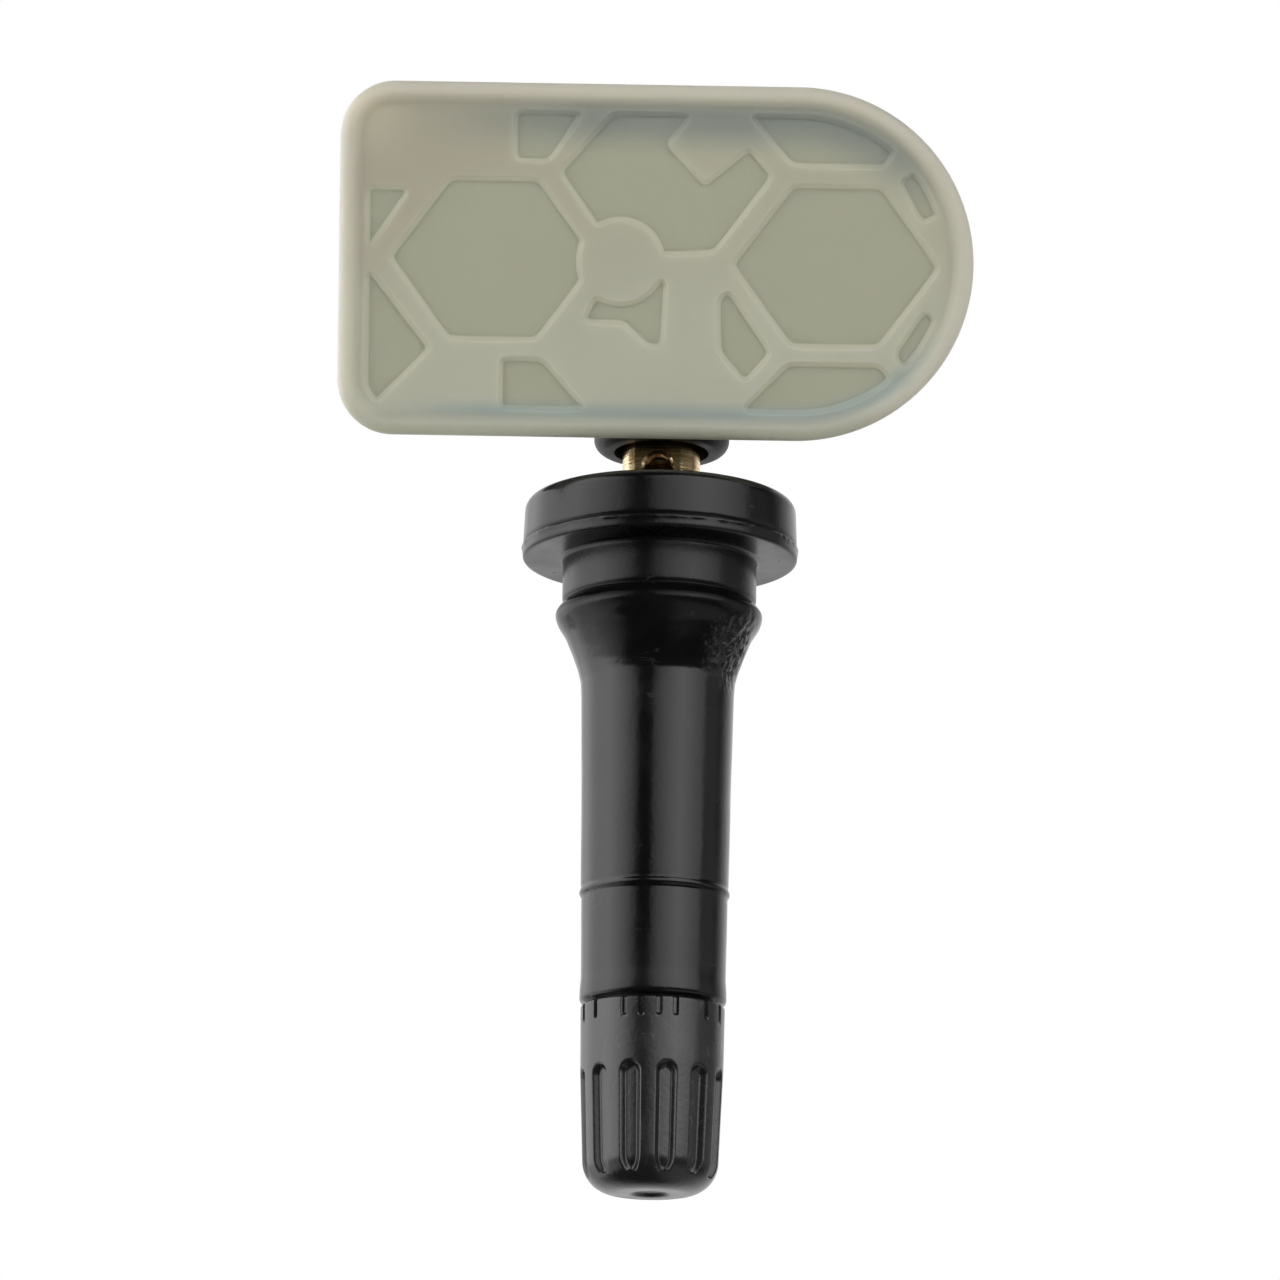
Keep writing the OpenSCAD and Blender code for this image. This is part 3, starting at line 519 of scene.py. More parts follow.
def rubber_material(finish):
    """Black moulded rubber, duller in some bands, with scuffs on the bulge and on the ring."""
    material, graph, shader, place = new_material("valve_rubber")
    grain = group_node(graph, "moulded_grain", vector=place, fine_scale=2600.0, broad_scale=300.0)
    scuff = group_node(graph, "scuff_patch", vector=place, centre=(0.0051, -0.0034, -0.0070),
                       radius=0.0033, speckle_scale=2600.0)
    ring_scuff = group_node(graph, "scuff_patch", vector=place, centre=(-0.0042, -0.003, -0.0242),
                            radius=0.0016, speckle_scale=2400.0)
    lines = group_node(graph, "fine_scratches", vector=place, stretch=(6.0, 6.0, 1.0),
                       scale=1500.0, amount=0.6)
    scratched = graph.math("MULTIPLY", lines.outputs["Mask"], 0.35)
    worn = graph.math("MAXIMUM", scuff.outputs["Mask"],
                      graph.math("MAXIMUM", ring_scuff.outputs["Mask"], scratched))
    base = mottled(graph, grain, finish.rubber, 1.5)
    graph.put(shader.inputs["Base Color"], graph.mix(worn, base, rgba(finish.rubber_scuff)))
    level = graph.axes(place)["Z"]
    masks, dulled = {}, 0.0
    for band, (loss, *edges) in DULLER_BANDS.items():
        masks[band] = graph.zone(*((level, start, full) for start, full in edges))
        dulled = graph.math("MULTIPLY_ADD", masks[band], loss, dulled)
    shine = graph.math("SUBTRACT", RUBBER_SHINE, graph.math("MINIMUM", dulled, MOST_DULLED))
    graph.put(shader.inputs["Specular IOR Level"], shine)
    rough = roughness(graph, grain, finish.rubber_gloss, 0.07)
    rough = graph.math("MULTIPLY_ADD", masks["groove"], 0.1, rough)
    graph.put(shader.inputs["Roughness"], graph.math("MULTIPLY_ADD", worn, 0.25, rough))
    height = graph.math("MULTIPLY_ADD", scuff.outputs["Height"], 5.0, grain.outputs["Height"])
    bump(graph, shader, height, 0.00001)
    return material


def cap_material(finish):
    """Satin dark plastic with a few scratches along the cap."""
    material, graph, shader, place = new_material("cap_plastic")
    grain = group_node(graph, "moulded_grain", vector=place, fine_scale=3000.0, broad_scale=420.0)
    lines = group_node(graph, "fine_scratches", vector=place, stretch=(1.0, 1.0, 9.0),
                       scale=1300.0, amount=0.9)
    scuff = group_node(graph, "scuff_patch", vector=place, centre=(0.0035, -0.0035, -0.0385),
                       radius=0.0028, speckle_scale=2900.0)
    worn = graph.math("MAXIMUM", graph.math("MULTIPLY", lines.outputs["Mask"], 0.6),
                      graph.math("MULTIPLY", scuff.outputs["Mask"], 0.4))
    base = mottled(graph, grain, finish.cap, 1.25)
    graph.put(shader.inputs["Base Color"], graph.mix(worn, base, (0.06, 0.06, 0.061, 1.0)))
    graph.put(shader.inputs["Roughness"], roughness(graph, grain, finish.cap_gloss, 0.06))
    shader.inputs["Specular IOR Level"].default_value = 0.74
    bump(graph, shader, grain.outputs["Height"], 0.000014)
    return material


def shell_material(finish):
    """Black eroded-texture plastic."""
    material, graph, shader, place = new_material("shell_plastic")
    grain = group_node(graph, "moulded_grain", vector=place, fine_scale=4200.0, broad_scale=260.0)
    graph.put(shader.inputs["Base Color"], mottled(graph, grain, finish.shell, 1.4))
    graph.put(shader.inputs["Roughness"], roughness(graph, grain, 0.44, 0.1))
    bump(graph, shader, grain.outputs["Height"], 0.00002)
    return material


def brass_material(finish):
    """Turned brass with fine tool rings and a film of rubber on the root of its thread."""
    material, graph, shader, place = new_material("turned_brass")
    stretched = graph.vector("MULTIPLY", place, (260.0, 260.0, 14000.0))
    rings = graph.noise(stretched, 1.0, 3.0, 0.5)
    spots = graph.math("MULTIPLY", graph.noise(place, 1500.0, 4.0), 0.35)
    tone = graph.smooth(graph.math("MULTIPLY_ADD", rings, 0.65, spots), 0.36, 0.6)
    root_level = (SHAFT_END - 0.25) * MM
    from_root = graph.math("SUBTRACT", graph.axes(place)["Z"], root_level)
    film = graph.smooth(graph.math("ABSOLUTE", from_root), 0.0005, 0.00038)
    metal = graph.mix(tone, rgba(finish.brass_dull), rgba(finish.brass))
    graph.put(shader.inputs["Base Color"], graph.mix(film, metal, rgba(finish.rubber)))
    graph.put(shader.inputs["Metallic"], graph.math("SUBTRACT", 1.0, film))
    rough = graph.math("MULTIPLY_ADD", tone, -0.06, 0.19)
    graph.put(shader.inputs["Roughness"], graph.math("MULTIPLY_ADD", film, 0.3, rough))
    bump(graph, shader, rings, 0.000012)
    return material


def plain_metal(name, colour, rough, streak=(900.0, 900.0, 4000.0)):
    """A plated or drawn metal with faint streaks."""
    material, graph, shader, place = new_material(name)
    streaks = graph.noise(graph.vector("MULTIPLY", place, streak), 1.0)
    mask = graph.smooth(streaks, 0.35, 0.65)
    graph.put(shader.inputs["Base Color"], graph.mix(mask, scaled(colour, 0.82), rgba(colour)))
    shader.inputs["Metallic"].default_value = 1.0
    graph.put(shader.inputs["Roughness"], graph.math("MULTIPLY_ADD", mask, 0.1, rough))
    bump(graph, shader, streaks, 0.000006)
    return material


def plain_moulding(name, colour, rough, scale=1800.0):
    """A moulded or coated material with a light mottle."""
    material, graph, shader, place = new_material(name)
    grain = group_node(graph, "moulded_grain", vector=place, fine_scale=scale,
                       broad_scale=scale * 0.15)
    graph.put(shader.inputs["Base Color"], mottled(graph, grain, colour, 1.2))
    graph.put(shader.inputs["Roughness"], roughness(graph, grain, rough, 0.08))
    bump(graph, shader, grain.outputs["Height"], 0.00001)
    return material


def board_material():
    """Green board with faint tracks under its coat."""
    material, graph, shader, place = new_material("circuit_board_coat")
    cells = graph.add("ShaderNodeTexVoronoi", feature="DISTANCE_TO_EDGE")
    cells.inputs["Scale"].default_value = 420.0
    graph.put(cells.inputs["Vector"], place)
    track = graph.smooth(cells.outputs["Distance"], 0.06, 0.02)
    graph.put(shader.inputs["Base Color"],
              graph.mix(track, (0.008, 0.09, 0.03, 1.0), (0.02, 0.17, 0.06, 1.0)))
    shader.inputs["Roughness"].default_value = 0.3
    bump(graph, shader, track, 0.00002)
    return material


MATERIALS = {
    "cover_plastic": cover_material,
    "rubber": rubber_material,
    "cap_plastic": cap_material,
    "shell_plastic": shell_material,
    "brass": brass_material,
    "board": lambda finish: board_material(),
    "cell_steel": lambda finish: plain_metal("plated_steel", (0.6, 0.6, 0.62), 0.25),
    "tab_metal": lambda finish: plain_metal("tinned_strip", (0.66, 0.63, 0.55), 0.3),
    "screw_steel": lambda finish: plain_metal("zinc_plated_steel", (0.58, 0.58, 0.6), 0.27),
    "copper": lambda finish: plain_metal("copper_winding", (0.6, 0.25, 0.1), 0.35,
                                         (9000.0, 200.0, 200.0)),
    "chip_plastic": lambda finish: plain_moulding("chip_package", (0.015, 0.015, 0.017), 0.5),
    "silicone": lambda finish: plain_moulding("sealing_rubber", (0.4, 0.05, 0.03), 0.45),
    "ferrite": lambda finish: plain_moulding("ferrite", (0.04, 0.04, 0.045), 0.55, 3000.0),
    "gasket": lambda finish: plain_moulding("gasket_ring", (0.7, 0.68, 0.6), 0.4),
}

# Materials made so far, by slot
finishes_made = {}


def finish_of(slot_name):
    """The material of a slot, made once."""
    if slot_name not in finishes_made:
        finishes_made[slot_name] = MATERIALS[slot_name](bpy.context.scene.sensor_finish)
    return finishes_made[slot_name]


def add_piece(name, mesh, slot_name, body, sharp, replaced=()):
    """Puts a finished mesh, in millimetres, in the scene as a piece; edges past sharp stay sharp."""
    mesh.transform(Matrix.Scale(MM, 4))
    mesh.shade_smooth()
    mesh.set_sharp_from_angle(angle=math.radians(sharp))
    mesh.materials.clear()
    mesh.materials.append(finish_of(slot_name))
    piece = bpy.data.objects.new(name, mesh)
    bpy.context.scene.collection.objects.link(piece)
    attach(piece, body)
    if replaced:
        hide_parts(*replaced)


def mesh_from(name, points, faces):
    """A mesh from points and faces, with its faces turned outwards."""
    work = bmesh.new()
    made = [work.verts.new(p) for p in points]
    for face in faces:
        if len(set(face)) > 2:
            work.faces.new([made[i] for i in face])
    bmesh.ops.remove_doubles(work, verts=work.verts, dist=1e-5)
    bmesh.ops.recalc_face_normals(work, faces=work.faces)
    mesh = bpy.data.meshes.new(name)
    work.to_mesh(mesh)
    work.free()
    return mesh


def arc(centre, radius, start, end, steps):
    """Points of an arc in the profile plane."""
    out = []
    for i in range(steps + 1):
        a = math.radians(start + (end - start) * i / steps)
        out.append((centre[0] + radius * math.cos(a), centre[1] + radius * math.sin(a)))
    return out


def steps_between(a, b, count):
    """Evenly spaced points from one point on, up to but without the other."""
    return [(a[0] + (b[0] - a[0]) * i / count, a[1] + (b[1] - a[1]) * i / count)
            for i in range(count)]


def refine(profile, longest):
    """A profile with extra points, so that no step is longer than given."""
    out = []
    for a, b in zip(profile, profile[1:]):
        out += steps_between(a, b, max(1, math.ceil(math.dist(a, b) / longest)))
    return out + [profile[-1]]


def softened(profile, reach, passes):
    """A profile whose corners are eased by a few passes of averaging."""
    points = list(profile)
    for _ in range(passes):
        eased = points[:]
        for i in range(1, len(points) - 1):
            a, b, c = points[i - 1], points[i], points[i + 1]
            eased[i] = (b[0] + reach * ((a[0] + c[0]) / 2 - b[0]),
                        b[1] + reach * ((a[1] + c[1]) / 2 - b[1]))
        points = eased
    return points


def lathe(name, profile, segments, closed=False):
    """A turned mesh about Z; a point on the axis becomes a pole."""
    points, rows = [], []
    for r, z in profile:
        if r < 1e-6:
            rows.append([len(points)] * segments)
            points.append((0.0, 0.0, z))
            continue
        rows.append(range(len(points), len(points) + segments))
        for k in range(segments):
            a = 2 * math.pi * k / segments
            points.append((r * math.cos(a), r * math.sin(a), z))
    faces = []
    pairs = list(zip(rows, rows[1:]))
    if closed:
        pairs.append((rows[-1], rows[0]))
    for low, high in pairs:
        for k in range(segments):
            n = (k + 1) % segments
            corner = [low[k], low[n], high[n], high[k]]
            faces.append([c for i, c in enumerate(corner) if c != corner[i - 1]])
    return mesh_from(name, points, faces)


def cut(mesh, cutters):
    """The mesh less some cutting meshes."""
    body = bpy.data.objects.new("cut_body", mesh)
    bpy.context.scene.collection.objects.link(body)
    tools = []
    for cutter in cutters:
        tool = bpy.data.objects.new("cutter", cutter)
        bpy.context.scene.collection.objects.link(tool)
        modifier = body.modifiers.new("cut", "BOOLEAN")
        modifier.operation = "DIFFERENCE"
        modifier.solver = "EXACT"
        modifier.object = tool
        tools.append(tool)
    result = plain_mesh(body)
    for extra in [body, *tools]:
        bpy.data.objects.remove(extra)
    return result


def plain_mesh(piece):
    """The evaluated mesh of an object as plain data."""
    graph = bpy.context.evaluated_depsgraph_get()
    graph.update()
    return bpy.data.meshes.new_from_object(piece.evaluated_get(graph))


def block(low, high):
    """A box mesh between two corners."""
    work = bmesh.new()
    bmesh.ops.create_cube(work, size=1.0)
    size = [h - l for l, h in zip(low, high)]
    middle = [(h + l) / 2 for l, h in zip(low, high)]
    bmesh.ops.scale(work, vec=size, verts=work.verts)
    bmesh.ops.translate(work, vec=middle, verts=work.verts)
    mesh = bpy.data.meshes.new("block")
    work.to_mesh(mesh)
    work.free()
    return mesh


class FaceOutline:
    """The housing's outline in millimetres, about the middle of its face."""

    def __init__(self, housing):
        self.half_width = housing.width / 2
        self.half_height = housing.height / 2
        self.corner = housing.corner
        self.round_x = self.half_width - self.half_height

    def ring(self, spacing=0.25):
        """Points and outward directions round the outline, against the clock."""
        r = self.corner
        left = -self.half_width
        runs = [
            ("line", (left + r, -self.half_height), (self.round_x, -self.half_height), (0, -1)),
            ("arc", (self.round_x, 0), self.half_height, -90, 90),
            ("line", (self.round_x, self.half_height), (left + r, self.half_height), (0, 1)),
            ("arc", (left + r, self.half_height - r), r, 90, 180),
            ("line", (left, self.half_height - r), (left, r - self.half_height), (-1, 0)),
            ("arc", (left + r, r - self.half_height), r, 180, 270),
        ]
        out = []
        for kind, *data in runs:
            if kind == "line":
                a, b, direction = data
                steps = math.ceil(math.dist(a, b) / spacing)
                out += [(point, direction) for point in steps_between(a, b, steps)]
            else:
                centre, radius, start, end = data
                steps = math.ceil(math.radians(end - start) * radius / spacing)
                for i in range(steps):
                    a = math.radians(start + (end - start) * i / steps)
                    way = (math.cos(a), math.sin(a))
                    out.append(((centre[0] + radius * way[0], centre[1] + radius * way[1]), way))
        return out

    def inside(self, point, inset):
        """The point, or the nearest one that lies inset from the outline."""
        x, y = point
        bend = self.half_width - self.corner
        if x > self.round_x:
            centre, reach = (self.round_x, 0.0), self.half_height - inset
        elif x < -bend and abs(y) > self.half_height - self.corner and self.corner > inset:
            centre = (-bend, math.copysign(self.half_height - self.corner, y))
            reach = self.corner - inset
        else:
            reach = self.half_height - inset
            return max(x, inset - self.half_width), min(max(y, -reach), reach)
        away = math.dist(point, centre)
        share = min(1.0, reach / max(away, 1e-6))
        return centre[0] + (x - centre[0]) * share, centre[1] + (y - centre[1]) * share


def pairs_round(line):
    """Each point of a closed line with the next one."""
    return list(zip(line, line[1:] + line[:1]))


def triples_round(line):
    """Each point of a closed line between its two neighbours."""
    return list(zip(line[-1:] + line[:-1], line, line[1:] + line[:1]))


def resampled(points, spacing):
    """A closed line with evenly spaced points."""
    out = []
    for a, b in pairs_round(points):
        out += steps_between(a, b, max(1, round(math.dist(a, b) / spacing)))
    return out


def eased(points, passes):
    """A closed line whose corners are rounded by averaging."""
    for _ in range(passes):
        points = [((a[0] + 2 * b[0] + c[0]) / 4, (a[1] + 2 * b[1] + c[1]) / 4)
                  for a, b, c in triples_round(points)]
    return points


def without_spikes(points):
    """A closed line less the points at which it doubles back."""
    spiky = True
    while spiky:
        kept = []
        for a, b, c in triples_round(points):
            step, after = (b[0] - a[0], b[1] - a[1]), (c[0] - b[0], c[1] - b[1])
            if math.hypot(*step) > 0.01 and step[0] * after[0] + step[1] * after[1] >= 0:
                kept.append(b)
        spiky = len(kept) < len(points)
        points = kept
    return points


def clearance(points, line):
    """Distance from each point to a closed line."""
    start = numpy.array(line)
    along = numpy.roll(start, -1, axis=0) - start
    away = numpy.array(points)[:, None, :] - start[None, :, :]
    share = (away * along).sum(axis=2) / numpy.maximum((along * along).sum(axis=1), 1e-12)
    nearest = away - numpy.clip(share, 0.0, 1.0)[:, :, None] * along
    return numpy.sqrt((nearest * nearest).sum(axis=2)).min(axis=1)


def shifted(points, distance):
    """A closed line, against the clock, moved outwards, with no loops at its corners."""
    out = []
    for a, b, c in triples_round(points):
        dx, dy = c[0] - a[0], c[1] - a[1]
        size = math.hypot(dx, dy) or 1.0
        out.append((b[0] + dy / size * distance, b[1] - dx / size * distance))
    good = list(clearance(out, points) >= 0.97 * abs(distance))
    count = len(out)
    if not any(good):
        raise ValueError(f"no room to move a line by {distance:.3f} mm")
    for i in range(count):
        if good[i]:
            continue
        back = next(k for k in range(1, count) if good[i - k])
        ahead = next(k for k in range(1, count) if good[(i + k) % count])
        before, after = out[i - back], out[(i + ahead) % count]
        share = back / (back + ahead)
        out[i] = tuple(u + (v - u) * share for u, v in zip(before, after))
        good[i] = True
    return out


def signed_area(line):
    """Area inside a closed line, positive where it runs against the clock."""
    return sum(a[0] * b[1] - b[0] * a[1] for a, b in pairs_round(line)) / 2


def half_width(line):
    """Half the mean width of a closed line."""
    return 2 * abs(signed_area(line)) / sum(math.dist(a, b) for a, b in pairs_round(line))


def is_inside(point, line):
    """Whether a point lies inside a closed line."""
    x, y = point
    found = False
    for a, b in pairs_round(line):
        if (a[1] > y) != (b[1] > y) and x < (b[0] - a[0]) * (y - a[1]) / (b[1] - a[1]) + a[0]:
            found = not found
    return found


# Corners of the pockets between the ribs, in millimetres from the middle of the face
CELL_CORNERS = [(-7.05, 0.0), (-3.025, -5.425), (3.025, -5.425), (7.05, 0.0), (3.025, 5.425),
                (-3.025, 5.425)]
LEFT_CELL = (-11.15, 0.05)
RIGHT_CELL = (12.3, -0.1)
PAD = (-2.45, 0.0)
POCKETS = {
    "left_cell": [(LEFT_CELL[0] + x, LEFT_CELL[1] + y) for x, y in CELL_CORNERS],
    "right_cell": [(RIGHT_CELL[0] + x, RIGHT_CELL[1] + y) for x, y in CELL_CORNERS],
    "upper_middle": [(-2.3, 11), (-6.65, 6.05), (-4.2, 2.6), (-2, 0.5), (4, 0.8), (7.85, 6),
                     (6.25, 7.8), (3.25, 5.3), (0.6, 8.1), (3.05, 11)],
    "below_pad": [(-4, -2.2), (-4.9, -4.1), (-2.2, -4.1), (-0.5, -5.7), (0.45, -5.7),
                  (0.65, -1.2)],
    "upper_left": [(-9.75, 11), (-9.7, 6.85), (-7.4, 6.85), (-4.65, 11)],
    "left_high": [(-21, 4.75), (-21, 0.6), (-19.8, 0.6), (-17, 4.75)],
    "left_low": [(-21, -0.95), (-21, -8.9), (-19.1, -9.85), (-15.45, -6.15), (-19.5, -1.05)],
    "lower_left": [(-10.5, -6.8), (-10.5, -11), (-3.9, -11), (-7.75, -6.8)],
    "upper_right": [(5.6, 10.9), (9.2, 6.8), (15.6, 6.8), (17.6, 10.9)],
    "slot_high": [(16.65, 5.7), (18.2, 3.0), (20.2, 4.2), (18.3, 7.1)],
    "slot_low": [(16.5, -6.1), (17.5, -7.6), (20.2, -5), (18.5, -3.0)],
    "lower_right": [(9.15, -6.85), (5, -11.1), (14.7, -11.1), (17.1, -8.7), (15.4, -6.85)],
    "beside_cell": [(4.95, -1.85), (4.35, -2.45), (4.45, -6.05), (6.2, -8.1), (7.9, -6.1)],
}
POINT_SPACING = 0.12
CORNER_PASSES = 14

# Room between the pockets and the foot of the lip, how far the walls stand outside the pockets'
# lines and lean in towards the floor, and a short step that keeps each rounding's end flat
EDGE_MARGIN = 0.37
WALL_SHIFT = 0.12
DRAFT = 0.14
FLAT_STEP = 0.05


def pocket_lines(housing, outline):
    """The pockets' closed lines, cut by the lip and the pad and with rounded corners."""
    lines = []
    for corners in POCKETS.values():
        line = resampled(corners if signed_area(corners) > 0 else corners[::-1], POINT_SPACING)
        line = [outline.inside(p, housing.lip_width + EDGE_MARGIN) for p in line]
        for i, (x, y) in enumerate(line):
            away = math.hypot(x - PAD[0], y - PAD[1])
            if away < housing.pad_radius:
                grow = housing.pad_radius / max(away, 1e-6)
                line[i] = (PAD[0] + (x - PAD[0]) * grow, PAD[1] + (y - PAD[1]) * grow)
        even = resampled(without_spikes(line), POINT_SPACING)
        lines.append(eased(even, CORNER_PASSES))
    return lines


class CoverSurface:
    """Gathers the points and faces of the cover."""

    def __init__(self):
        self.points = []
        self.faces = []

    def row(self, line, depth):
        """Adds a closed line at a depth behind the lip."""
        start = len(self.points)
        self.points += [(x, y, -depth) for x, y in line]
        return list(range(start, len(self.points)))

    def skin(self, rows):
        """Joins each row to the next one, which has as many points."""
        for first, second in zip(rows, rows[1:]):
            for (a, b), (c, d) in zip(pairs_round(first), pairs_round(second)):
                self.faces.append((a, b, d, c))

    def fill(self, rim, holes=()):
        """Fills a flat region between a rim row and hole rows."""
        rows = [rim, *holes]
        keys = [i for row in rows for i in row]
        flat = [Vector(self.points[i][:2]) for i in keys]
        edges, start = [], 0
        for row in rows:
            edges += pairs_round(list(range(start, start + len(row))))
            start += len(row)
        found = delaunay_2d_cdt(flat, edges, [], 1, 1e-7)
        where = []
        for point, origin in zip(found[0], found[3]):
            if not origin:
                self.points.append((point[0], point[1], self.points[rim[0]][2]))
            where.append(keys[origin[0]] if origin else len(self.points) - 1)
        lines = [[tuple(self.points[i][:2]) for i in row] for row in rows]
        for face in found[2]:
            middle = [sum(found[0][i][k] for i in face) / len(face) for k in (0, 1)]
            in_hole = any(is_inside(middle, hole) for hole in lines[1:])
            if is_inside(middle, lines[0]) and not in_hole:
                self.faces.append([where[i] for i in face])


def bend(radius, degrees):
    """How far a rounded edge stands off its two faces at an angle round it."""
    turn = math.radians(degrees)
    return radius * (1 - math.sin(turn)), radius * (1 - math.cos(turn))


def lip_rows(housing):
    """Rows of (inset, depth) from the skirt's end over the lip to the ribbed face."""
    rows = [(housing.skirt, housing.depth), (0.12, housing.depth), (0.03, housing.depth - 0.04),
            (0.0, housing.depth - 0.14), (0.0, housing.depth - 0.8), (0.0, housing.lip_round + 0.3)]
    rows += [bend(housing.lip_round, a)[::-1] for a in range(0, 91, 9)]
    slope = housing.lip_width - housing.lip_round
    for i in range(1, 11):
        t = i / 10
        fall = t * t * (3 - 2 * t)
        rows.append((housing.lip_round + slope * t, housing.lip_drop * fall))
    return rows


def wall_rows(housing, line):
    """Rows of (outward, down) from the ribbed face over a rib's edge to a pocket's floor."""
    floor_round = min(housing.floor_round, 0.2 * half_width(line))
    rows = [(housing.rib_round + FLAT_STEP, 0.0)]
    rows += [bend(housing.rib_round, a) for a in (0, 15, 30, 45, 60)]
    for a in (30, 45, 60, 75, 90):
        up, back = bend(floor_round, a)
        rows.append((-DRAFT - back, housing.pocket_depth - up))
    return rows + [(-DRAFT - floor_round - FLAT_STEP, housing.pocket_depth)]


def build_cover(housing):
    """The ribbed cover as one closed mesh in the part's frame."""
    outline = FaceOutline(housing)
    ring = outline.ring()
    surface = CoverSurface()

    def line_at(inset):
        return [(p[0] - inset * n[0], p[1] - inset * n[1]) for p, n in ring]

    rows = [surface.row(line_at(inset), depth) for inset, depth in lip_rows(housing)]
    holes = []
    for line in pocket_lines(housing, outline):
        wall = [surface.row(shifted(line, out + WALL_SHIFT), housing.lip_drop + down)
                for out, down in wall_rows(housing, line)]
        surface.skin(wall)
        surface.fill(wall[-1])
        holes.append(wall[0])
    surface.skin(rows)
    surface.fill(rows[-1], holes)
    ceiling = surface.row(line_at(housing.skirt), housing.lip_drop + housing.face_thickness)
    surface.skin([ceiling, rows[0]])
    surface.fill(ceiling)
    mesh = mesh_from("cover", surface.points, surface.faces)
    middle = FACE_ORIGIN + FACE_UP * housing.height / 2
    lean = Matrix((FACE_RIGHT, FACE_UP, FACE_OUT)).transposed().to_4x4()
    mesh.transform(Matrix.Translation(middle) @ lean)
    room_foot, room_top = 7.0, 12.8
    room = lathe("socket_room", [(0, room_foot), (housing.socket_room, room_foot),
                                 (housing.socket_room, room_top), (0, room_top)], segments=96)
    return cut(mesh, [room])


class SENSOR_OT_cover(bpy.types.Operator):
    """Makes the translucent cover with its lip and honeycomb ribs"""

    bl_idname = "sensor.cover"
    bl_label = "Ribbed cover"

    def execute(self, context):
        mesh = build_cover(context.scene.sensor_housing)
        add_piece("ribbed_cover", mesh, "cover_plastic", VALVE, sharp=40.0, replaced=["front_cover"])
        return {"FINISHED"}


def rubber_profile(valve):
    """Outside of the rubber from the top of the flange to the end of the shaft."""
    rim, top, part = valve.flange, valve.flange_height, valve.parting
    neck, foot = valve.neck, -valve.neck_height
    bulge, shaft, end = valve.bulge, valve.shaft, valve.shaft_end
    ring = -valve.ring_height
    cone, waist = 5.3, -16.5

    # Crowned top and rounded rim of the flange
    outline = [(valve.stem + FILM, top + 0.48), (rim * 0.5, top + 0.4), (rim - 1.1, top + 0.08)]
    outline += arc((rim - 0.9, top - 0.8), 0.8, 70, 0, 10)

    # Moulding flash with the crease above it, then the flange's lower edge
    outline += [(rim - 0.02, part + 0.26), (rim - 0.16, part + 0.18), (rim - 0.02, part + 0.1),
                (rim + 0.11, part + 0.05), (rim + 0.12, part), (rim + 0.03, part - 0.12)]
    outline += arc((rim - 0.22, 0.22), 0.22, 0, -90, 6)

    # Groove for the rim, then the bulge
    outline += [(neck + 0.2, 0.0), (neck + 0.04, -0.05), (neck, -0.2), (neck, foot + 0.16),
                (neck - 0.16, foot + 0.06), (neck - 0.12, foot - 0.02), (bulge - 0.16, foot - 0.5),
                (bulge - 0.04, foot - 0.68), (bulge, foot - 0.86), (bulge - 0.05, foot - 1.2),
                (bulge - 0.22, foot - 1.6)]

    # Hollow cone down to the shaft, as shares of the bulge's overhang and of the cone's length
    for share, down in ((0.62, 0.45), (0.36, 0.68), (0.14, 0.9), (0.03, 1.06), (0.0, 1.25)):
        outline.append((shaft + (bulge - shaft) * share, foot - cone * down))

    # Shaft, moulded ring and the shaft's end
    outline += [(shaft - 0.13, waist), (end + 0.1, ring + 0.42), (end + 0.03, ring + 0.3),
                (end + 0.13, ring + 0.22), (end + 0.2, ring + 0.05), (end + 0.2, ring - 0.05),
                (end + 0.13, ring - 0.22), (end, ring - 0.3), (end + 0.05, ring - 0.4),
                (end - 0.02, SHAFT_END + 1.6), (end + 0.04, SHAFT_END + 0.8),
                (end + 0.05, SHAFT_END + 0.12), (end - 0.06, SHAFT_END)]
    return outline


# Middle and reach of the scuffed patch on the bulge
SCUFF_CENTRE = Vector((5.5, -3.0, -7.0))
SCUFF_REACH = 3.2


def roughen_rubber(mesh, valve):
    """Ragged flash, a scuffed patch on the bulge and the slight unevenness of soft rubber."""
    for vertex in mesh.vertices:
        place = vertex.co
        radial = Vector((place.x, place.y, 0))
        if radial.length < valve.insert + 1:
            continue
        out = radial.normalized()
        wave = 0.012 * noise(place * 0.35)
        flash = math.exp(-((place.z - valve.parting) / 0.12) ** 2)
        wave += flash * 0.07 * noise(place * 2.2)
        near = max(0.0, 1 - (place - SCUFF_CENTRE).length / SCUFF_REACH)
        wave += near * 0.28 * (0.2 + noise(place * 2.3) + 0.6 * noise(place * 6.1))
        seam = math.exp(-((place.z - valve.parting - 0.16) / 0.2) ** 2)
        vertex.co = place + out * wave + Vector((0, 0, seam * 0.05 * noise(out * 9.0)))


class SENSOR_OT_rubber(bpy.types.Operator):
    """Makes the moulded rubber of the snap-in valve"""

    bl_idname = "sensor.rubber"
    bl_label = "Rubber valve"

    def execute(self, context):
        valve = context.scene.sensor_valve
        fine = softened(refine(rubber_profile(valve), longest=0.16), reach=0.5, passes=2)
        outer = refine(fine, longest=0.3)
        inner = [(valve.thread + FILM, SHAFT_END), (valve.thread + FILM, THREAD_TOP),
                 (valve.insert + FILM, THREAD_TOP), (valve.insert + FILM, COLLAR_FOOT - FILM),
                 (COLLAR + FILM, COLLAR_FOOT - FILM), (COLLAR + FILM, COLLAR_TOP + FILM),
                 (valve.stem + FILM, COLLAR_TOP + FILM)]
        mesh = lathe("rubber", outer + inner, segments=288, closed=True)
        roughen_rubber(mesh, valve)
        add_piece("moulded_rubber", mesh, "rubber", VALVE, sharp=50.0, replaced=["rubber_valve"])
        return {"FINISHED"}


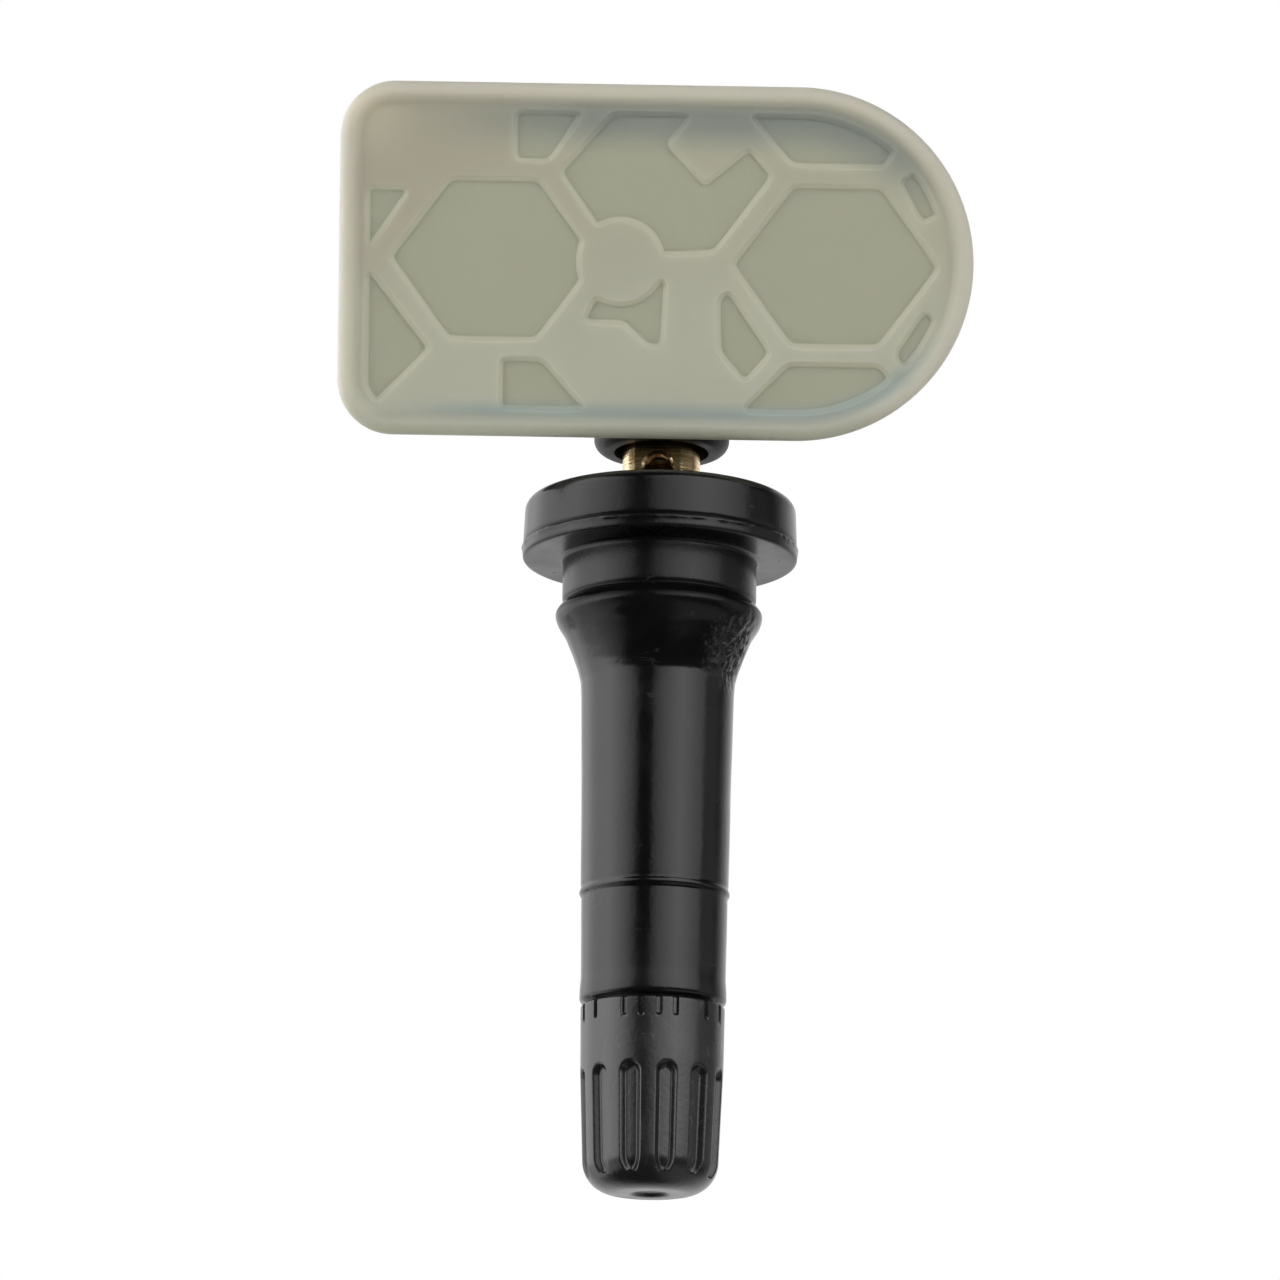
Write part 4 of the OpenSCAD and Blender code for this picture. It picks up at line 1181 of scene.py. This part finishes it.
def new_tree(name, values):
    """A geometry tree on a mesh, named sizes and a finish; gives its graph and its inputs."""
    tree = bpy.data.node_groups.new(name, "GeometryNodeTree")
    for side in ("OUTPUT", "INPUT"):
        tree.interface.new_socket("Geometry", in_out=side, socket_type="NodeSocketGeometry")
    for label, default in values.items():
        socket = tree.interface.new_socket(label, in_out="INPUT", socket_type="NodeSocketFloat")
        socket.default_value = default
    tree.interface.new_socket("Finish", in_out="INPUT", socket_type="NodeSocketMaterial")
    graph = Graph(tree)
    return graph, graph.add("NodeGroupInput").outputs


def end_tree(graph, geometry, position, finish):
    """Ends a tree: moves the points of its geometry, makes it real and gives it its finish."""
    moved = graph.add("GeometryNodeSetPosition")
    graph.put(moved.inputs["Geometry"], geometry)
    graph.put(moved.inputs["Position"], position)
    real = graph.add("GeometryNodeRealizeInstances")
    graph.put(real.inputs[0], moved.outputs[0])
    painted = graph.add("GeometryNodeSetMaterial")
    graph.put(painted.inputs["Geometry"], real.outputs[0])
    graph.put(painted.inputs["Material"], finish)
    graph.put(graph.add("NodeGroupOutput").inputs[0], painted.outputs[0])
    return graph.tree


# Steps in one turn of a thread's ridge, where the stem's ridge starts, and the turns of both ridges
THREAD_SIDES = 72.0
RIDGE_START = TIP + 0.45
STEM_THREAD_TURNS = 12
CAP_THREAD_TURNS = 9

# Height where the stem's tenon starts, and the turn of its flats and cross hole about its axis
SHOULDER = 9.0
STEM_TURN = math.radians(-7)


def thread_tree():
    """Geometry nodes that sweep a V-shaped ridge along a helix, from a grid of one unit."""
    graph, given = new_tree("thread_ridge", {
        "Root Radius": 3.4, "Ridge Height": 0.46, "Root Width": 0.6, "Crest Width": 0.1,
        "Pitch": 0.794, "Length": 8.0, "Start Height": 0.0, "Start Angle": 0.0, "Outward": 1.0})
    turns = graph.math("DIVIDE", given["Length"], given["Pitch"])
    grid = graph.add("GeometryNodeMeshGrid")
    grid.inputs["Size X"].default_value = 1.0
    grid.inputs["Size Y"].default_value = 1.0
    graph.put(grid.inputs["Vertices X"], graph.math("MULTIPLY", turns, THREAD_SIDES))
    grid.inputs["Vertices Y"].default_value = 4
    place = graph.axes(graph.add("GeometryNodeInputPosition").outputs[0])
    run = graph.math("ADD", place["X"], 0.5)
    side = graph.math("ROUND", graph.math("MULTIPLY", graph.math("ADD", place["Y"], 0.5), 3.0))
    upper = graph.math("GREATER_THAN", side, 1.5)
    crest = graph.math("LESS_THAN", graph.math("ABSOLUTE", graph.math("SUBTRACT", side, 1.5)), 1.0)
    sign = graph.math("MULTIPLY_ADD", upper, 2.0, -1.0)
    wide = graph.product(graph.math("SUBTRACT", 1.0, crest), given["Root Width"])
    half = graph.product(graph.math("MULTIPLY_ADD", crest, given["Crest Width"], wide), 0.5)
    taper = graph.zone((run, 0.0, 0.06), (run, 1.0, 0.94))
    rise = graph.product(crest, taper, given["Ridge Height"])
    radius = graph.math("MULTIPLY_ADD", rise, given["Outward"], given["Root Radius"])
    angle = graph.math("ADD", graph.product(run, turns, 2 * math.pi), given["Start Angle"])
    lift = graph.math("MULTIPLY_ADD", run, given["Length"], given["Start Height"])
    position = graph.point(graph.product(radius, graph.math("COSINE", angle)),
                           graph.product(radius, graph.math("SINE", angle)),
                           graph.math("MULTIPLY_ADD", half, sign, lift))
    return end_tree(graph, grid.outputs["Mesh"], position, given["Finish"])


def grown_mesh(tree, slot_name, start, **values):
    """The mesh that a geometry tree makes of a starting mesh, with these inputs."""
    carrier = bpy.data.objects.new("carrier", start)
    bpy.context.scene.collection.objects.link(carrier)
    modifier = carrier.modifiers.new("grow", "NODES")
    modifier.node_group = tree
    values["finish"] = finish_of(slot_name)
    for item in tree.interface.items_tree:
        key = item.name.lower().replace(" ", "_")
        if item.item_type == "SOCKET" and item.in_out == "INPUT" and key in values:
            modifier[item.identifier] = values[key]
    mesh = plain_mesh(carrier)
    bpy.data.objects.remove(carrier)
    return mesh


def thread_mesh(slot_name, **values):
    """A closed thread ridge: its hidden root face is added to the swept one."""
    tree = bpy.data.node_groups.get("thread_ridge") or thread_tree()
    mesh = grown_mesh(tree, slot_name, bpy.data.meshes.new("ridge"), **values)
    work = bmesh.new()
    work.from_mesh(mesh)
    bmesh.ops.holes_fill(work, edges=work.edges, sides=0)
    bmesh.ops.triangulate(work, faces=[f for f in work.faces if len(f.verts) > 4])
    bmesh.ops.recalc_face_normals(work, faces=work.faces)
    work.to_mesh(mesh)
    work.free()
    return mesh


def stem_profile(valve):
    """Half section of the brass stem, down its outside and up through its bores."""
    root = valve.thread - valve.thread_depth
    core_bore, chamber, passage, screw, tenon, edge = 2.5, 1.8, 1.3, 1.5, 2.3, 2.62
    screw_foot, core_seat, chamber_foot, chamber_top = 7.6, 5.2, 6.4, 17.0
    return [
        (screw, TENON_TOP), (tenon - 0.06, TENON_TOP), (tenon, TENON_TOP - 0.06), (tenon, SHOULDER),
        (edge, SHOULDER), (valve.stem, SHOULDER - 0.08), (valve.stem, COLLAR_TOP),
        (COLLAR, COLLAR_TOP), (COLLAR, COLLAR_FOOT), (valve.insert, COLLAR_FOOT),
        (valve.insert, THREAD_TOP), (valve.thread, THREAD_TOP), (valve.thread, SHAFT_END - 0.35),
        (root, SHAFT_END - 0.6), (root, TIP + 0.35), (root - 0.3, TIP), (core_bore + 0.12, TIP),
        (core_bore, TIP + 0.12), (core_bore, TIP + core_seat), (chamber, TIP + chamber_foot),
        (chamber, TIP + chamber_top), (passage, TIP + chamber_top), (passage, screw_foot),
        (screw, screw_foot),
    ]


def stem_cutters(valve):
    """Meshes that cut the stem's two pairs of flats and its cross hole."""
    flat = valve.flats / 2
    tenon_flat = flat - 0.22
    reach, foot, top, above = 6, 4.8, 9.6, 14
    flats = [block((-reach, flat, foot), (reach, flat + reach, top)),
             block((-reach, -flat - reach, foot), (reach, -flat, top))]
    tenon_flats = [block((-reach, tenon_flat, SHOULDER), (reach, reach, above)),
                   block((-reach, -reach, SHOULDER), (reach, -tenon_flat, above))]
    hole = valve.air_hole / 2
    bevel = 0.2
    drill = lathe("drill", [(0, 0.4), (hole, 0.4), (hole, flat - bevel), (hole + bevel, flat),
                            (hole + bevel + 0.5, flat + 0.5), (0, flat + 0.5)], segments=64)
    drill.transform(Matrix.Rotation(math.radians(90), 4, "X"))
    drill.transform(Matrix.Translation((0, 0, valve.air_hole_height)))
    for cutter in (*flats, drill):
        cutter.transform(Matrix.Rotation(STEM_TURN, 4, "Z"))
    return [*flats, *tenon_flats, drill]


class SENSOR_OT_brass(bpy.types.Operator):
    """Makes the turned brass stem with its flats, cross hole and cap thread"""

    bl_idname = "sensor.brass"
    bl_label = "Brass stem"

    def execute(self, context):
        valve = context.scene.sensor_valve
        mesh = lathe("stem", refine(stem_profile(valve), longest=0.6), segments=128, closed=True)
        mesh = cut(mesh, stem_cutters(valve))
        add_piece("turned_stem", mesh, "brass", VALVE, sharp=30.0, replaced=["brass_stem"])
        root = valve.thread - valve.thread_depth
        ridge = thread_mesh("brass", root_radius=root - 0.02, ridge_height=valve.thread_depth + 0.02,
                            pitch=valve.pitch, length=valve.pitch * STEM_THREAD_TURNS,
                            start_height=RIDGE_START)
        add_piece("stem_thread", ridge, "brass", VALVE, sharp=30.0)
        return {"FINISHED"}


# Angles of the mouth slots on each side of the middle of their group, in degrees
SLOT_ANGLES = (7.0, 21.0, 50.0)

# Turn of the flutes and of the slot groups, in radians from the X axis; the viewer is at -90 degrees
FLUTE_PHASE = math.radians(12 - 90)
SLOT_PHASE = math.radians(-2.4 - 90)

# Wall of the cap that the grips leave alone, and the height of its solid end
INNER_WALL = 0.35
END_HEIGHT = 3.0


def cap_tree():
    """Geometry nodes that press finger flutes and mouth slots into a turned cap."""
    graph, given = new_tree("cap_grips", dict.fromkeys((
        "Flutes", "Flute Width", "Flute Depth", "Flute Top", "Flute Bottom", "Flute Phase",
        "Slot Groups", "Slot Phase", "Slot Width", "Slot Depth", "Slot Bottom", "Skin Radius",
        "Mouth Radius"), 0.0))
    x, y, z = graph.axes(graph.add("GeometryNodeInputPosition").outputs[0])
    radius = graph.hypotenuse(x, y)
    angle = graph.math("ARCTAN2", y, x)

    def from_nearest(count, phase):
        """Angle to the nearest of the repeats."""
        step = graph.math("DIVIDE", 2 * math.pi, count)
        share = graph.math("DIVIDE", graph.math("SUBTRACT", angle, phase), step)
        off = graph.math("SUBTRACT", share, graph.math("ROUND", share))
        return graph.math("ABSOLUTE", graph.product(off, step))

    side = graph.product(from_nearest(given["Flutes"], given["Flute Phase"]), given["Mouth Radius"])
    half = graph.product(given["Flute Width"], 0.5)
    over = graph.math("SUBTRACT", z, graph.math("SUBTRACT", given["Flute Top"], half))
    under = graph.math("SUBTRACT", given["Flute Bottom"], z)
    beyond = graph.math("MAXIMUM", graph.math("MAXIMUM", over, 0.0),
                        graph.product(graph.math("MAXIMUM", under, 0.0), 0.55))
    share = graph.math("DIVIDE", graph.hypotenuse(side, beyond), half)
    flute = graph.product(graph.smooth(share, 1.0, 0.5), given["Flute Depth"])

    folded = from_nearest(given["Slot Groups"], given["Slot Phase"])
    offsets = [graph.math("ABSOLUTE", graph.math("SUBTRACT", folded, math.radians(a)))
               for a in SLOT_ANGLES]
    nearest = reduce(lambda first, second: graph.math("MINIMUM", first, second), offsets)
    slot_share = graph.math("DIVIDE", graph.product(nearest, given["Mouth Radius"]),
                            graph.product(given["Slot Width"], 0.5))
    above = graph.math("SUBTRACT", z, given["Slot Bottom"])
    slot = graph.product(graph.zone((slot_share, 1.1, 0.7), (above, -0.05, 0.05)),
                         given["Slot Depth"])

    skin = graph.math("GREATER_THAN", radius, given["Skin Radius"])
    pressed = graph.math("SUBTRACT", radius, graph.product(skin, graph.math("MAXIMUM", flute, slot)))
    shrink = graph.math("DIVIDE", pressed, graph.math("MAXIMUM", radius, 0.01))
    position = graph.point(graph.product(x, shrink), graph.product(y, shrink), z)
    return end_tree(graph, given["Geometry"], position, given["Finish"])


def cap_profile(cap, bore):
    """Half section of the cap from the pole of its end, up the outside and down the bore."""
    r, end = cap.radius, cap.end_radius
    roof = TIP - 1.16
    outline = [(0, CAP_END + cap.dimple_depth), (cap.dimple * 0.45, CAP_END + cap.dimple_depth),
               (cap.dimple * 0.8, CAP_END + cap.dimple_depth * 0.7),
               (cap.dimple * 0.97, CAP_END + 0.06), (cap.dimple * 1.08, CAP_END),
               (end - cap.end_round - 0.1, CAP_END)]
    outline += arc((end - cap.end_round, CAP_END + cap.end_round), cap.end_round, -88, 0, 14)
    outline += [(r - 0.05, CAP_MOUTH - cap.flute_top), (r, CAP_MOUTH - 0.12),
                (r - 0.03, CAP_MOUTH - 0.04), (r - 0.1, CAP_MOUTH), (bore + 0.3, CAP_MOUTH),
                (bore, CAP_MOUTH - 0.3), (bore, roof + 0.02), (bore - 0.1, roof), (0, roof)]
    return outline


class SENSOR_OT_cap(bpy.types.Operator):
    """Makes the dust cap with its flutes, slots and inner thread"""

    bl_idname = "sensor.cap"
    bl_label = "Valve cap"

    def execute(self, context):
        cap = context.scene.sensor_cap
        valve = context.scene.sensor_valve
        bore = valve.thread + THREAD_PLAY
        skin_radius = bore + INNER_WALL
        outline = cap_profile(cap, bore)
        mouth = next(i for i, (r, z) in enumerate(outline)
                     if r < skin_radius and z > CAP_END + END_HEIGHT)
        outline = refine(outline[:mouth], longest=0.13) + refine(outline[mouth:], longest=1.0)
        mesh = grown_mesh(
            cap_tree(), "cap_plastic", lathe("cap_blank", outline, segments=480),
            mouth_radius=cap.radius, skin_radius=skin_radius,
            flutes=float(cap.flutes), flute_width=cap.flute_width, flute_depth=cap.flute_depth,
            flute_top=CAP_MOUTH - cap.flute_top, flute_bottom=CAP_END + cap.flute_bottom,
            flute_phase=FLUTE_PHASE, slot_groups=float(cap.slot_groups), slot_phase=SLOT_PHASE,
            slot_width=cap.slot_width, slot_depth=cap.slot_depth,
            slot_bottom=CAP_MOUTH - cap.slot_height)
        add_piece("fluted_cap", mesh, "cap_plastic", CAP, sharp=45.0, replaced=["valve_cap"])
        ridge = thread_mesh("cap_plastic", root_radius=bore + 0.02, ridge_height=valve.thread_depth,
                            outward=-1.0, pitch=valve.pitch, length=valve.pitch * CAP_THREAD_TURNS,
                            start_height=RIDGE_START + valve.pitch / 2)
        add_piece("cap_thread", ridge, "cap_plastic", CAP, sharp=30.0)
        return {"FINISHED"}


class SENSOR_OT_frame_finishes(bpy.types.Operator):
    """Gives each carried-over piece its material"""

    bl_idname = "sensor.frame_finishes"
    bl_label = "Finishes of the carried pieces"

    def execute(self, context):
        slots = {entry["node"]: entry["material_slot"] for entry in frame["record"]["subparts"]}
        for name, node in frame["nodes"].items():
            node.data.materials.clear()
            node.data.materials.append(finish_of(slots[name]))
        return {"FINISHED"}


def softbox(name, azimuths, elevations, brightness, falls):
    """A soft light that spans these angles in degrees, seen from the part; the viewer is at 0.

    Falls gives its brightness at the low end of its azimuths, the place of its peak and its
    brightness at the high end, all from 0 to 1.
    """
    distance = 0.6
    azimuth, elevation = (math.radians(sum(pair) / 2) for pair in (azimuths, elevations))
    size = [2 * distance * math.tan(math.radians(high - low) / 2)
            for low, high in (azimuths, elevations)]
    light = bpy.data.lights.new(name, "AREA")
    light.shape = "RECTANGLE"
    light.size, light.size_y = size
    light.energy = brightness * math.pi * size[0] * size[1]
    light.use_nodes = True
    graph = Graph(light.node_tree)
    across = graph.axes(graph.add("ShaderNodeNewGeometry").outputs["Parametric"])["X"]
    low_end, peak, high_end = falls
    rise = graph.ramp(across, (0.0, peak), (low_end, 1.0))
    fall = graph.ramp(across, (peak, 1.0), (1.0, high_end))
    emission = light.node_tree.nodes["Emission"]
    graph.put(emission.inputs["Strength"], graph.math("MINIMUM", rise, fall))
    lamp = bpy.data.objects.new(name, light)
    lamp.visible_camera = False
    level = math.cos(elevation)
    way = Vector((math.sin(azimuth) * level, -math.cos(azimuth) * level, math.sin(elevation)))
    lamp.location = way * distance
    target = Vector((0, 0, -0.005))
    lamp.rotation_euler = (target - lamp.location).to_track_quat("-Z", "Y").to_euler()
    bpy.context.scene.collection.objects.link(lamp)
    return lamp


def studio_world():
    """White behind the object and to the camera, dim on the viewer's side."""
    world = bpy.data.worlds.new("studio")
    world.use_nodes = True
    graph = Graph(world.node_tree)
    world.node_tree.nodes.clear()
    x, y, z = graph.axes(graph.add("ShaderNodeTexCoord").outputs["Generated"])
    behind = graph.smooth(y, 0.25, 0.9)
    beside = graph.smooth(x, 0.88, 0.99)
    below = graph.zone((z, -0.42, -0.58), (x, 0.1, 0.4))
    side = graph.mix(graph.math("MAXIMUM", beside, below), (0.02, 0.02, 0.0205, 1),
                     (0.36, 0.36, 0.36, 1))
    dim = graph.add("ShaderNodeBackground")
    graph.put(dim.inputs["Color"], graph.mix(behind, side, (1, 1, 1, 1)))
    white = graph.add("ShaderNodeBackground")
    white.inputs["Color"].default_value = (1, 1, 1, 1)
    path = graph.add("ShaderNodeLightPath")
    mixed = graph.add("ShaderNodeMixShader")
    clear = graph.math("MAXIMUM", path.outputs["Is Camera Ray"],
                       path.outputs["Is Transmission Ray"])
    graph.put(mixed.inputs[0], clear)
    graph.put(mixed.inputs[1], dim.outputs[0])
    graph.put(mixed.inputs[2], white.outputs[0])
    graph.put(graph.add("ShaderNodeOutputWorld").inputs["Surface"], mixed.outputs[0])
    bpy.context.scene.world = world


def floor_material():
    """Pale floor that melts into the white background and keeps the shadow."""
    material, graph, shader, _ = new_material("pale_floor")
    shader.inputs["Base Color"].default_value = (0.86, 0.86, 0.86, 1)
    shader.inputs["Roughness"].default_value = 0.7
    white = graph.add("ShaderNodeEmission")
    white.inputs["Color"].default_value = (1, 1, 1, 1)
    mixed = graph.add("ShaderNodeMixShader")
    seen = graph.add("ShaderNodeLightPath").outputs["Is Camera Ray"]
    graph.put(mixed.inputs[0], graph.math("MULTIPLY", seen, 0.75))
    graph.put(mixed.inputs[1], shader.outputs[0])
    graph.put(mixed.inputs[2], white.outputs[0])
    graph.put(material.node_tree.nodes["Material Output"].inputs["Surface"], mixed.outputs[0])
    return material


class SENSOR_OT_studio(bpy.types.Operator):
    """Sets up the camera, the lights, the floor and the white background"""

    bl_idname = "sensor.studio"
    bl_label = "Studio"

    def execute(self, context):
        studio = context.scene.sensor_studio
        context.scene.view_settings.view_transform = "Standard"
        studio_world()
        camera = bpy.data.objects.new("camera", bpy.data.cameras.new("camera"))
        context.scene.collection.objects.link(camera)
        target = Vector((-0.00128, 0.0, -0.0056))
        back = Vector((0, -math.cos(studio.rise), -math.sin(studio.rise)))
        camera.location = target + back * studio.distance
        look = (target - camera.location).to_track_quat("-Z", "Y").to_matrix()
        camera.rotation_euler = (look @ Matrix.Rotation(studio.roll, 3, "Z")).to_euler()
        camera.data.sensor_fit = "HORIZONTAL"
        camera.data.angle = 2 * math.atan(IMAGE_SIZE / 2 / studio.focal_pixels)
        camera.data.clip_start = 0.01
        camera.data.clip_end = 20
        context.scene.camera = camera
        left, right = studio.left_light, studio.right_light
        softbox("left_softbox", (-145, -28), (-12, 50), 2.6 * left, (0.0, 0.56, 0.0))
        softbox("left_low_softbox", (-125, -52), (-45, -12), 1.3 * left, (0.7, 0.45, 0.1))
        softbox("right_softbox", (-6, 76), (-4, 50), 2.2 * right, (0.21, 0.52, 0.33))
        low = softbox("low_softbox", (-60, 60), (-88, -48), 1.0 * right, (1.0, 0.5, 1.0))
        low.visible_glossy = False
        half, top, thickness = 3.0, -0.14, 0.005
        floor = bpy.data.objects.new(
            "floor", block((-half, -half, top - thickness), (half, half, top)))
        floor.data.materials.append(floor_material())
        floor.visible_glossy = False
        context.scene.collection.objects.link(floor)
        return {"FINISHED"}


class SENSOR_PT_panel(bpy.types.Panel):
    """Panel that lists the pieces of the sensor"""

    bl_idname = "SENSOR_PT_panel"
    bl_label = "Tyre pressure sensor"
    bl_space_type = "VIEW_3D"
    bl_region_type = "UI"
    bl_category = "Tyre Sensor"

    def draw(self, context):
        for operator in OPERATORS:
            self.layout.operator(operator.bl_idname)
        for name in SETTINGS:
            settings = getattr(context.scene, name)
            box = self.layout.box()
            for key in settings.__annotations__:
                box.prop(settings, key)


OPERATORS = (SENSOR_OT_studio, SENSOR_OT_frame_finishes, SENSOR_OT_cover, SENSOR_OT_rubber,
             SENSOR_OT_brass, SENSOR_OT_cap)


def register():
    """Registers the settings, the operators and the panel."""
    for settings in SETTINGS.values():
        bpy.utils.register_class(settings)
    for name, settings in SETTINGS.items():
        setattr(bpy.types.Scene, name, PointerProperty(type=settings))
    for operator in (*OPERATORS, SENSOR_PT_panel):
        bpy.utils.register_class(operator)


def unregister():
    """Removes what register added."""
    for operator in reversed((*OPERATORS, SENSOR_PT_panel)):
        bpy.utils.unregister_class(operator)
    for name, settings in SETTINGS.items():
        delattr(bpy.types.Scene, name)
        bpy.utils.unregister_class(settings)


def main():
    """Makes every piece in order."""
    register()
    for name in ("studio", "frame_finishes", "cover", "rubber", "brass", "cap"):
        getattr(bpy.ops.sensor, name)()


if __name__ == "__main__":
    main()
